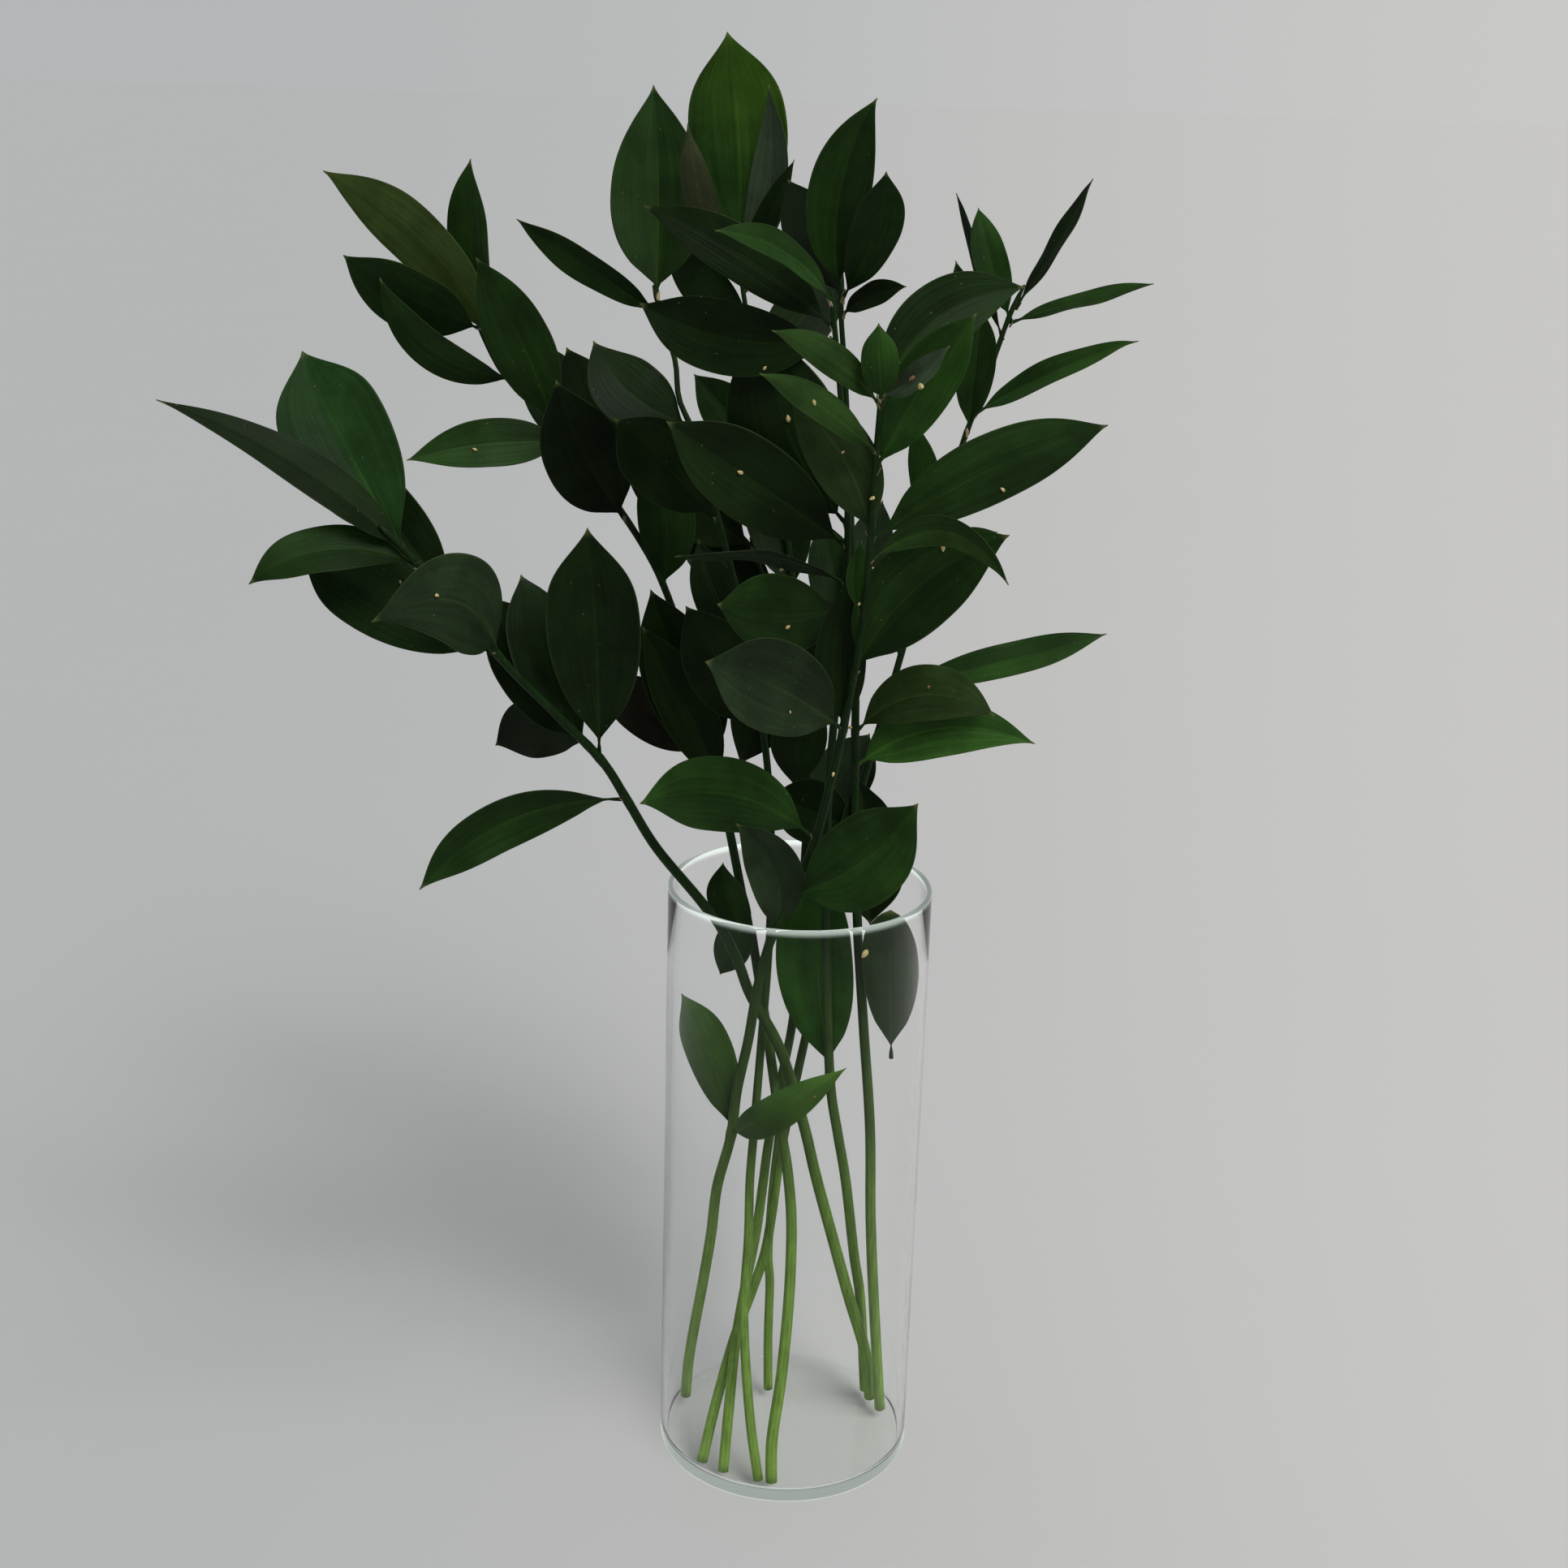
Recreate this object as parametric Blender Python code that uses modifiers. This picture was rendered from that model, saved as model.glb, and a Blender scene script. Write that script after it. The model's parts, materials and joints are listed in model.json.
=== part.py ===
"""Cut ruscus stems with their leaves, standing in a clear glass cylinder vase.

Units are metres, +Z is up and the vase's axis is Z, with the table at z = 0.
Places are written in millimetres as (x, z, y): x and z are where the line of sight
from EYE meets the upright plane y = 0, and y is the real depth behind that plane.
"""
from math import cos, pi, radians, sin, sqrt

import bmesh
import bpy
from mathutils import Vector
from mathutils.bvhtree import BVHTree

MM = 0.001
EYE = Vector((0.0, -789.6, 532.8))

# Vase, in millimetres.
VASE_RADIUS = 50.0
VASE_HEIGHT = 240.0
WALL = 2.2
FLOOR = 4.5
LIP_RADIUS = 1.1
FOOT_ROUND = 2.7
CORNER_ROUND = 3.0
VASE_SIDES = 40

# Stems, in millimetres.
STEM_STEPS = 15
STEM_SIDES_RES = 1

# Leaves, in millimetres; the outline is (place along the leaf, share of the half width)
# for a leaf that is widest at OUTLINE_BELLY, and BELLY is where most leaves are widest.
# POINT is the length of the drawn-out tip, which leaves beyond BLUNT_BELLY don't have.
BLADE = 0.9
PETIOLE_HALF = 0.95
TIP_HALF = 0.4
GROOVE = 0.16
OUTLINE = ((0.0, 0.0), (0.05, 0.0), (0.15, 0.60), (0.35, 0.99),
           (0.59, 0.93), (0.82, 0.48), (1.0, 0.0))
OUTLINE_BELLY = 0.43
BELLY = 0.52
POINT = 0.16
BLUNT_BELLY = 0.65
FIRST_BLADE_RING = 2
FIRST_FREE_RING = 3
CLEAR = 0.8

GLASS = ((0.86, 0.90, 0.88, 1.0), 0.03)
GREEN = ((0.055, 0.115, 0.045, 1.0), 0.42)
FADED = ((0.16, 0.19, 0.12, 1.0), 0.5)

# Each stem: base radius, top radius, then its route (x, z, y) from the cut end upwards.
STEMS = {
    "stem_front": (2.3, 1.0, (
        (-40.5, 15.5, 12), (-39, 35, 10), (-34, 68, 6), (-31, 90, 3), (-29, 111, 0),
        (-24, 133, -4), (-22, 153, -9), (-18, 175, -13), (-15, 197, -17), (-10, 218, -20),
        (-5, 231, -22), (2, 248, -25), (7, 265, -29), (14, 301, -38), (20, 344, -50),
        (21, 365, -55), (22, 401, -62), (23, 426, -66))),
    "stem_left": (2.4, 1.1, (
        (35.7, 17.4, 17), (33, 38, 15), (25, 64, 12), (17, 92, 8), (10, 117, 5),
        (4, 141, 2), (-6, 172, -6), (-18, 194, -9), (-24, 209, -10.5), (-35, 228, -12.5),
        (-54.5, 252, -17), (-66, 271, -20.5), (-75.5, 286, -24), (-92, 303, -29),
        (-110, 321, -36), (-128, 343, -42), (-145, 361, -46), (-156, 372, -48))),
    "stem_top_right": (2.3, 0.9, (
        (40, 12.4, 9), (35.5, 60, 6), (32.5, 99, 4), (30.5, 140, 1.5), (26, 185, -1),
        (21.5, 235, -2), (19, 285, 1), (17.5, 330, 6), (13.5, 386, 11), (10, 430, 14),
        (8, 449, 15), (7, 464, 16))),
    "stem_middle": (2.2, 0.9, (
        (33.5, 21.2, 23), (30, 62, 18), (26.5, 83, 15.5), (22, 115, 11), (18, 136, 7),
        (14.5, 156, 3), (12, 190, -3), (10, 230, -9), (9.5, 280, -15), (12, 330, -18),
        (13, 360, -20), (12.5, 385, -22), (9, 420, -24), (6, 445, -25), (4, 460, -25))),
    "stem_right": (2.1, 0.9, (
        (-32.3, -16, -32), (-27.5, 11, -26), (-21, 41, -17), (-14.5, 63, -8), (-9.5, 81, -3),
        (-7, 99, 0), (-5, 120, 4), (-3, 135, 7), (2, 165, 13), (8, 200, 19), (14, 240, 25),
        (22, 280, 34), (32, 321, 46), (39, 352, 54), (46, 383, 60), (53, 410, 65),
        (59, 428, 68), (66, 452, 71), (71, 464, 73))),
    "stem_upper_left": (2.3, 1.0, (
        (-3.8, -24.8, -44), (-4, -4, -40), (-1, 26, -34), (1, 63, -26), (1, 95, -19),
        (-1, 117, -14), (-4, 135, -11), (-8, 160, 0), (-12, 185, 7), (-16, 206, 12),
        (-22, 235, 18), (-29, 268, 27), (-39, 308, 40), (-51, 348, 50), (-64, 373, 56),
        (-91, 410, 64), (-110, 427, 67), (-120, 446, 70))),
    "stem_middle_left": (1.9, 0.9, (
        (-9.2, -24, -43), (-13, 3, -38), (-16, 36, -33), (-17, 60, -25), (-16, 88, -18),
        (-16, 114, -12), (-15, 135, -8), (-13, 175, -1), (-11.5, 205, 4), (-11, 240, 9),
        (-13, 280, 16), (-20, 325, 22), (-32, 372, 27), (-43, 408, 34), (-48.5, 421, 40),
        (-50, 434, 46), (-54, 446, 53), (-58, 460, 60))),
    "stem_top": (2.1, 0.9, (
        (-23.6, -20.3, -38), (-22, 9, -32), (-20, 41, -22), (-17, 65, -14), (-13, 91, -8),
        (-11, 111, -4), (-9, 132, 0), (-5, 158, 6), (-1, 185, 13), (0.5, 220, 21),
        (1.5, 280, 34), (-3, 330, 47), (-9, 375, 60), (-17, 418, 72), (-25, 450, 80),
        (-29, 475, 86))),
    "stem_back": (1.9, 0.9, (
        (-6.4, 19.9, 21), (-7, 43, 20), (-7, 69, 19), (-8, 82, 18.5), (-7, 110, 18),
        (-5, 137, 18), (-3.5, 165, 18), (0, 190, 22), (3, 230, 31), (3, 260, 40),
        (-2, 300, 54), (-10, 335, 68), (-22, 372, 82))),
}

# Each leaf: height z of its root on the stem, its tip (x, z), its lean (-1 all the way
# towards EYE, 1 away from it), its width, the turn of the blade about its midrib
# (0 faces EYE), its sideways bow, its arch towards EYE and, where they differ from the
# usual, the extra turn at the root, the place where it is widest and its groove.
LEAVES = {
    "stem_front": (
        (135, 20.5, 164.5, -0.5, 14, 0, 2, 12),
        (134, -44.5, 193.5, 0, 18, 0, 3, 0, 0, 0.6),
        (218, -25, 263, -0.3, 20, 0, 8, 0),
        (235, 42.5, 273, -0.8, 32, 5, 5.5, 0, 0, 0.55),
        (258, -61.5, 269.5, -0.6, 27, 5, 9.5, 0, 0, 0.6),
        (301, -37, 325, -0.8, 32, 0, 3, 0, 0, 0.58),
        (322, 71.5, 376, -0.3, 30, 0, -8, 0),
        (345, 18.5, 372, -0.1, 8, -20, -2, 0),
        (364, 72.5, 357.5, -0.5, 11, -25, -14.5, 0, 0, 0.5),
        (372, 104, 416.5, 0.3, 23, 10, -4, 0, 0, 0.54),
        (374, -10, 424, -0.2, 22, 0, 5, 0),
        (397, 55, 454, -0.2, 20, 0, -2, 0, 0, 0.56, 0.3),
        (404, -20, 431, -0.6, 11, -25, 2, 0),
        (421, -16, 446, -0.4, 11, -20, 3, 0),
        (422, 71.5, 463.5, 0.6, 22, 0, -10, 0),
        (423, 21, 449.5, -0.1, 12, 0, 0, 0, 0, 0.6),
        (424, 45.5, 442.5, -0.1, 9, 30, 2, 0),
        (302, 14, 358, -0.3, 18, -10, -2, 0, 0, 0.46)),
    "stem_left": (
        (271, -145, 232, -0.4, 20, 20, 10, 0, 32, 0.56),
        (291, -115, 290.5, 0.5, 22, 15, 7, 0, 0, 0.56),
        (287, -81, 374, -0.5, 33, 8, 1, 0, 0, 0.62, 0.3),
        (300, -105, 356, 0.4, 26, -20, 0, 0),
        (291, -118, 348, 0.6, 28, 15, 0, 0),
        (326, -160, 336, -0.9, 33, -10, 13.5, 4, 0, 0.44),
        (325, -186, 363, 0.2, 27, 10, -2, 0, 0, 0.62),
        (357, -205, 349, -0.5, 18, -30, 9, 0, 0, 0.58),
        (362, -235, 415, -0.3, 16, -30, 6, 0, 0, 0.4),
        (361, -182, 434, 0.5, 37, 8, -2, 0, 0, 0.62, 0.35),
        (344, -170, 400, 0.8, 22, 30, 0, 0)),
    "stem_top_right": (
        (287, 85.5, 297.8, -0.6, 21, 0, -10, 0, 0, 0.46),
        (300, 70, 308, -0.2, 22, 20, -11, 0),
        (330, 3, 380, 0.7, 20, 0, 0, 0),
        (287, 27, 224, 0.2, 26, 10, -2, 0, 0, 0.6, 0.25),
        (262, -12, 275, 0.2, 24, 0, 0, 0),
        (350, 25, 387, 0.6, 16, 0, 0, 0),
        (459, 17.5, 525, -0.2, 22, 0, -7, 0, 0, 0.5, 0.3),
        (457, 21.5, 501, -0.5, 18, -20, 3, 0, 0, 0.62),
        (458, -12, 497, 0.8, 20, 0, 0, 0),
        (452, 30, 462.5, -0.2, 9, 20, -2, 0)),
    "stem_middle": (
        (161, 7, 252, -0.1, 31, 0, -3, 8, 0, 0.55, 0.25),
        (347, -34, 347, -0.6, 28, -10, -3, 0, 0, 0.56),
        (352, -6, 330, -0.4, 16, -40, 0, 0),
        (356, -49, 363, -0.5, 14, 72, 6, 0),
        (370, -53, 413, -0.4, 29, 0, 0, 0, 0, 0.55),
        (378, -18, 448, 0.2, 40, -5, -7, 0),
        (447, -62, 487, 0.2, 18, 0, 4, 0),
        (456, -37, 479.5, -0.5, 12, -40, 6, 0),
        (443, -63, 454, 0.5, 25, 0, -6, 0, 0, 0.56)),
    "stem_right": (
        (318, 109, 341, 0.3, 14, 20, 1, 0, 0, 0.55),
        (357, 67, 377, -0.1, 12, 0, -4, 0),
        (372, 35, 416, -0.3, 12, 10, 1, 0),
        (412, 57, 456, -0.2, 15, 0, 0, 0, 0, 0.58),
        (419, 112, 447, -0.4, 13, 45, -2, 0, 0, 0.46),
        (430, 46.5, 472, 0.5, 12, 20, 0, 0),
        (445, 46, 494.5, 0.5, 7, 50, 0, 0),
        (451, 116, 466, -0.2, 9, 50, -1, 0),
        (452, 53.5, 490, 0.2, 13, 0, -1, 0),
        (457, 92, 501, 0.3, 9, 50, 1.5, 0),
        (330, 14, 372, 1, 24, 10, 0, 0),
        (290, 60, 318, 0.9, 22, 0, 0, 0)),
    "stem_upper_left": (
        (218, -29.5, 247, -0.1, 16, 20, -3, 0),
        (224, -30, 201, -0.1, 16, 0, 0, 0),
        (276, -61, 338, -0.3, 21, 0, 2, 0),
        (283, -58, 352, 0.1, 30, 0, 0, 0),
        (290, -78, 319, 0.6, 22, 0, 0, 0),
        (352, -59, 402, 0.2, 22, 0, 4, 0),
        (377, -92, 426, -0.7, 31, 0, -3, 0, 0, 0.5),
        (385, -88.5, 438, 0.3, 28, 0, 2, 0),
        (404, -146, 396, -0.6, 19, -15, 3, 0, 0, 0.47),
        (400, -100, 440, 1, 24, 0, 0, 0),
        (410, -120, 468, -0.3, 24, 10, 2, 0, 0, 0.5, 0.3),
        (426, -154, 460, -0.5, 16, 30, -10, 0),
        (437, -173, 495, 0.4, 27, 38, 9, 0),
        (441, -121.5, 501, 0.3, 22, 44, -3, 0),
        (443, -166.5, 467, -0.4, 26, 30, -2, 0)),
    "stem_middle_left": (
        (378, -71.5, 413.5, -0.4, 28, 0, 1, 0, 0, 0.58),
        (412, -79, 440.5, 0.2, 27, 0, -6, 0, 0, 0.5),
        (450, -106, 481, -0.3, 14, 35, 0, 0),
        (456, -58.7, 527, 0.9, 35, 5, 1, 0, 0, 0.46),
        (300, -45, 346, -0.3, 28, 0, 0, 0),
        (325, -41, 371, 0.5, 18, 0, -2, 0)),
    "stem_top": (
        (318, -3, 278, -0.3, 22, 0, 0, 0),
        (338, -24, 286, -0.4, 26, 0, 0, 0),
        (398, -43.5, 430, 0.2, 20, 0, 0, 0),
        (440, -54, 476, 0.7, 18, 0, 0, 0),
        (460, -29, 503, 0.7, 20, 20, 0, 0),
        (466, -20, 528, -0.6, 16, 25, 6, 0, 0, 0.45),
        (470, -34, 544.5, -0.6, 37, 0, 2, 0, 0, 0.58),
        (470, -47, 515, -0.7, 12, 10, -6, 0, 0, 0.62),
        (466, -10, 504, -0.2, 9, 0, 0, 0),
        (350, -20, 415, 0.9, 26, 0, 0, 0),
        (380, -30, 430, 1, 26, 0, 0, 0),
        (300, 0, 345, 1, 26, 0, 0, 0),
        (430, 8, 470, 0.5, 24, 0, 0, 0)),
    "stem_back": (
        (368, -70, 401, -0.5, 26, 0, 0, 0),
        (340, -50, 385, 0.7, 26, 0, 0, 0),
        (300, -40, 335, 0.8, 26, 0, 0, 0),
        (262, 24, 300, 0.8, 24, 0, 0, 0),
        (320, 22, 350, 0.9, 22, 0, 0, 0)),
}

LOOSE_LEAF = ((37.5, 169, -4), (34.5, 230), 0, 21, 10, 0, 0, 0, 0.66)

# Length that a leaf has at least when it leans all the way, and how much longer than
# its seen length a long one may be.
FULL_LENGTH = 70.0
FULL_SHARE = 1.06

# How far a leaf may be bent clear of what already stands there: tip depth, arch, turn.
TIP_SHIFTS = (0, 6, -6, 12, -12, 18, -18, 26, -26, 36, -36)
ARCH_SHIFTS = (0, 6, -6, 12, -12)
TURN_SHIFTS = (0, 20, -20)


def place(x, z, y):
    """The real point, in millimetres, seen at (x, z) on the plane y = 0 with depth y."""
    share = (y - EYE.y) / -EYE.y
    return EYE + (Vector((x, 0.0, z)) - EYE) * share


def smooth_route(rows, steps):
    """Points on a Catmull-Rom curve through rows, evenly spaced by row length."""
    rows = [Vector(row) for row in rows]
    padded = [2 * rows[0] - rows[1], *rows, 2 * rows[-1] - rows[-2]]
    fine = []
    for a, b, c, d in zip(padded, padded[1:], padded[2:], padded[3:]):
        for k in range(8):
            t = k / 8
            fine.append(0.5 * (2 * b + (c - a) * t + (2 * a - 5 * b + 4 * c - d) * t * t
                               + (3 * b - a - 3 * c + d) * t * t * t))
    fine.append(rows[-1])
    lengths = [0.0]
    for p, q in zip(fine, fine[1:]):
        lengths.append(lengths[-1] + (q - p).length)
    route = []
    k = 0
    for i in range(steps):
        want = lengths[-1] * i / (steps - 1)
        while k < len(fine) - 2 and lengths[k + 1] < want:
            k += 1
        part = (want - lengths[k]) / (lengths[k + 1] - lengths[k])
        route.append(fine[k].lerp(fine[k + 1], part))
    return route


def at_height(route, z):
    """The point of a stem's route (x, z, y rows) at row height z."""
    for p, q in zip(route, route[1:]):
        if p.y <= z <= q.y:
            return p.lerp(q, (z - p.y) / (q.y - p.y))
    return route[-1].copy()


def skew(belly):
    """How far along the outline is moved, so that the leaf is widest at belly."""
    return (belly - OUTLINE_BELLY) / (OUTLINE_BELLY * (1 - OUTLINE_BELLY))


def pointed(share, t, belly):
    """The share of the half width at t, drawn in to a point near the tip."""
    if belly > BLUNT_BELLY:
        return share
    return min(share, 0.8 * ((1 - t) / POINT) ** 1.25)


def leaf_mesh(root, tip, width, turn, bow, arch, twist=0.0, belly=BELLY, groove=GROOVE,
              first=0, grow=0.0):
    """Vertices and faces of a closed blade from root to tip, both real points."""
    chord = tip - root
    eye = (EYE - (root + tip) / 2).normalized()
    side = chord.cross(eye).normalized()
    front = side.cross(chord.normalized())

    def midrib(t):
        return root + chord * t + (side * bow + front * arch) * (4 * t * (1 - t))

    verts = []
    for t, share in OUTLINE[first:]:
        t += skew(belly) * t * (1 - t)
        share = pointed(share, t, belly)
        along = (midrib(t + 0.01) - midrib(t - 0.01)).normalized()
        across = along.cross(front).normalized()
        up = across.cross(along)
        angle = radians(turn + twist * (1 - t) ** 2)
        blade = across * cos(angle) + up * sin(angle)
        normal = up * cos(angle) - across * sin(angle)
        least = PETIOLE_HALF if t < 0.5 else TIP_HALF
        half = max(width / 2 * share, least) + grow / 2
        rise = normal * (half * groove if share else 0.0)
        thick = normal * (BLADE / 2 + grow)
        middle = midrib(t)
        left, right = middle - blade * half + rise, middle + blade * half + rise
        verts += [left + thick, middle + thick, right + thick,
                  right - thick, middle - thick, left - thick]
    faces = []
    rings = len(verts) // 6
    for ring in range(rings - 1):
        low, high = ring * 6, ring * 6 + 6
        for k in range(6):
            n = (k + 1) % 6
            a, b, c, d = low + k, low + n, high + n, high + k
            if k in (0, 4):
                faces += [(a, b, c), (a, c, d)]
            else:
                faces += [(a, b, d), (b, c, d)]
    last = (rings - 1) * 6
    for a, b, c, d in ((0, 1, 4, 5), (1, 2, 3, 4)):
        faces += [(d, c, b), (d, b, a)]
        faces += [(last + a, last + b, last + c), (last + a, last + c, last + d)]
    return verts, faces


def tree_of(verts, faces):
    return BVHTree.FromPolygons([tuple(v) for v in verts], faces)


def new_material(name, look):
    material = bpy.data.materials.new(name)
    material.use_nodes = True
    shader = material.node_tree.nodes["Principled BSDF"]
    shader.inputs["Base Color"].default_value = look[0]
    shader.inputs["Roughness"].default_value = look[1]
    shader.inputs["Metallic"].default_value = 0.0
    if name.startswith("vase"):
        shader.inputs["Transmission Weight"].default_value = 1.0
        shader.inputs["IOR"].default_value = 1.5
    return material


def new_object(name, verts, faces, collection):
    mesh = bpy.data.meshes.new(name)
    mesh.from_pydata([tuple(v * MM) for v in verts], [], faces)
    mesh.validate()
    body = bmesh.new()
    body.from_mesh(mesh)
    bmesh.ops.recalc_face_normals(body, faces=body.faces)
    body.to_mesh(mesh)
    body.free()
    obj = bpy.data.objects.new(name, mesh)
    collection.objects.link(obj)
    return obj


def vase_profile():
    """The glass's section (radius, height), down the outside and up the inside."""
    points = [(VASE_RADIUS - LIP_RADIUS + LIP_RADIUS * sin(radians(a)),
               VASE_HEIGHT - LIP_RADIUS + LIP_RADIUS * cos(radians(a))) for a in (0, 45, 90)]
    points += [(VASE_RADIUS - FOOT_ROUND * (1 - cos(radians(a))),
                FOOT_ROUND * (1 - sin(radians(a)))) for a in (0, 30, 60, 90)]
    points.append((0.0, 0.0))
    inner = VASE_RADIUS - WALL
    points.append((0.0, FLOOR))
    points += [(inner - CORNER_ROUND * (1 - sin(radians(a))),
                FLOOR + CORNER_ROUND * (1 - cos(radians(a)))) for a in (0, 30, 60, 90)]
    points += [(VASE_RADIUS - LIP_RADIUS - LIP_RADIUS * cos(radians(a)),
                VASE_HEIGHT - LIP_RADIUS + LIP_RADIUS * sin(radians(a))) for a in (0, 45)]
    return points


def evaluated_mesh(obj):
    bpy.context.view_layer.update()
    graph = bpy.context.evaluated_depsgraph_get()
    return bpy.data.meshes.new_from_object(obj.evaluated_get(graph))


def make_vase(collection):
    points = vase_profile()
    mesh = bpy.data.meshes.new("vase")
    pairs = [(k, (k + 1) % len(points)) for k in range(len(points))]
    edges = [(a, b) for a, b in pairs if points[a][0] > 0 or points[b][0] > 0]
    mesh.from_pydata([(r * MM, 0.0, z * MM) for r, z in points], edges, [])
    obj = bpy.data.objects.new("vase", mesh)
    collection.objects.link(obj)
    screw = obj.modifiers.new("turn", "SCREW")
    screw.angle = 2 * pi
    screw.steps = VASE_SIDES
    screw.render_steps = VASE_SIDES
    screw.use_merge_vertices = True
    screw.merge_threshold = 0.00005
    screw.use_smooth_shade = True
    return obj


def make_stem(name, collection):
    """The bare stem as a closed mesh object, and its route rows."""
    base, top, rows = STEMS[name]
    route = smooth_route(rows, STEM_STEPS)
    curve = bpy.data.curves.new(name + "_route", "CURVE")
    curve.dimensions = "3D"
    curve.bevel_depth = 1.0 * MM
    curve.bevel_resolution = STEM_SIDES_RES
    curve.use_fill_caps = True
    spline = curve.splines.new("POLY")
    spline.points.add(len(route) - 1)
    for k, (point, row) in enumerate(zip(spline.points, route)):
        point.co = (*(place(*row) * MM), 1.0)
        share = k / (len(route) - 1)
        point.radius = base + (top - base) * share ** 1.4
    guide = bpy.data.objects.new(name + "_route", curve)
    collection.objects.link(guide)
    mesh = evaluated_mesh(guide)
    body = bmesh.new()
    body.from_mesh(mesh)
    bmesh.ops.remove_doubles(body, verts=body.verts, dist=0.00001)
    bmesh.ops.triangulate(body, faces=body.faces)
    body.to_mesh(mesh)
    body.free()
    obj = bpy.data.objects.new(name, mesh)
    obj.matrix_world = guide.matrix_world
    collection.objects.link(obj)
    bpy.data.objects.remove(guide)
    return obj, route


def tree_of_object(obj, mesh):
    verts = [Vector(v.co) / MM for v in mesh.vertices]
    return tree_of(verts, [tuple(p.vertices) for p in mesh.polygons])


def crossings(spec, owner, stems, blades, glass):
    """How many faces of the blade, grown by the clearance, meet what stands already."""
    full = tree_of(*leaf_mesh(*spec, grow=CLEAR))
    blade = tree_of(*leaf_mesh(*spec, first=FIRST_BLADE_RING, grow=CLEAR))
    free = tree_of(*leaf_mesh(*spec, first=FIRST_FREE_RING, grow=CLEAR))
    found = len(full.overlap(glass))
    for name, tree in stems.items():
        found += len((free if name == owner else full).overlap(tree))
    for name, whole, part in blades:
        found += len(blade.overlap(part) if name == owner else full.overlap(whole))
    return found


def bend_clear(root, tip_row, lean, shape, owner, stems, blades, glass):
    """The leaf with the first small change of tip depth, arch and turn that clears it."""
    width, turn, bow, arch, *rest = shape
    seen = (place(*tip_row, root.y) - root).length
    full = max(FULL_LENGTH, FULL_SHARE * seen)
    depth = root.y + lean * sqrt(full * full - seen * seen)
    changes = sorted(
        ((dy, da, dt) for dy in TIP_SHIFTS for da in ARCH_SHIFTS for dt in TURN_SHIFTS),
        key=lambda c: abs(c[0]) / 6 + abs(c[1]) / 4 + abs(c[2]) / 14)
    best = None
    for dy, da, dt in changes:
        trial = (root, place(*tip_row, depth + dy), width, turn + dt, bow, arch + da, *rest)
        found = crossings(trial, owner, stems, blades, glass)
        if found == 0:
            return trial, 0
        if best is None or found < best[1]:
            best = (trial, found)
    return best


def fuse(stem, leaves, name):
    """Joins the leaves to their stem by one union and removes them."""
    group = bpy.data.collections.new(name + "_leaves")
    bpy.context.scene.collection.children.link(group)
    for leaf in leaves:
        group.objects.link(leaf)
    union = stem.modifiers.new("union", "BOOLEAN")
    union.operation = "UNION"
    union.operand_type = "COLLECTION"
    union.collection = group
    union.solver = "EXACT"
    mesh = evaluated_mesh(stem)
    stem.modifiers.remove(union)
    old = stem.data
    stem.data = mesh
    bpy.data.meshes.remove(old)
    for leaf in leaves:
        bpy.data.objects.remove(leaf)
    bpy.data.collections.remove(group)
    drop_scraps(stem.data)
    return stem


def drop_scraps(mesh):
    """Triangulates, and keeps only the largest connected body."""
    body = bmesh.new()
    body.from_mesh(mesh)
    bmesh.ops.remove_doubles(body, verts=body.verts, dist=0.000001)
    left = set(body.verts)
    islands = []
    while left:
        stack = [left.pop()]
        island = set(stack)
        while stack:
            for edge in stack.pop().link_edges:
                for vert in edge.verts:
                    if vert in left:
                        left.discard(vert)
                        island.add(vert)
                        stack.append(vert)
        islands.append(island)
    islands.sort(key=len)
    for island in islands[:-1]:
        bmesh.ops.delete(body, geom=list(island), context="VERTS")
    bmesh.ops.triangulate(body, faces=body.faces)
    body.to_mesh(mesh)
    body.free()


def main():
    for obj in list(bpy.data.objects):
        bpy.data.objects.remove(obj)
    parts = bpy.data.collections.new("ruscus_vase")
    bpy.context.scene.collection.children.link(parts)
    vase = make_vase(parts)
    vase.data.materials.append(new_material("vase_glass", GLASS))
    glass = tree_of_object(vase, evaluated_mesh(vase))

    bodies, routes, stems = {}, {}, {}
    for name in STEMS:
        bodies[name], routes[name] = make_stem(name, parts)
        stems[name] = tree_of_object(bodies[name], bodies[name].data)

    blades = []
    report = []
    lower, upper, lean, *shape = LOOSE_LEAF
    spec, found = bend_clear(place(*lower), upper, lean, shape, "loose_leaf",
                             stems, blades, glass)
    report.append(("loose_leaf", 0, found))
    verts, faces = leaf_mesh(*spec)
    loose = new_object("loose_leaf", verts, faces, parts)
    loose.data.materials.append(new_material("loose_leaf_skin", FADED))
    blades.append(("loose_leaf", tree_of(verts, faces), tree_of(verts, faces)))

    for name, rows in LEAVES.items():
        leaves = []
        for number, row in enumerate(rows):
            height, x, z, lean, *shape = row
            root = place(*at_height(routes[name], height))
            spec, found = bend_clear(root, (x, z), lean, shape, name, stems, blades, glass)
            report.append((name, number, found))
            verts, faces = leaf_mesh(*spec)
            blades.append((name, tree_of(verts, faces),
                           tree_of(*leaf_mesh(*spec, first=FIRST_BLADE_RING))))
            leaves.append(new_object(f"{name}_leaf_{number}", verts, faces, parts))
        body = fuse(bodies[name], leaves, name)
        body.data.materials.clear()
        body.data.materials.append(new_material(name + "_skin", GREEN))
        body.data.shade_smooth()
        body.data.set_sharp_from_angle(angle=radians(40))
    return report


if __name__ == "__main__":
    main()
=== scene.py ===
"""Looks of the cut ruscus stems in their glass vase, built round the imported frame.

Places are written in millimetres as (x, z, y), as in the part's own source: x and z are
where the line of sight from EYE meets the upright plane y = 0, and y is the real depth.
"""

import json
from math import cos, pi, radians, sin, sqrt
from random import Random

import bmesh
import bpy
from mathutils import Matrix, Vector
from mathutils.bvhtree import BVHTree

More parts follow.
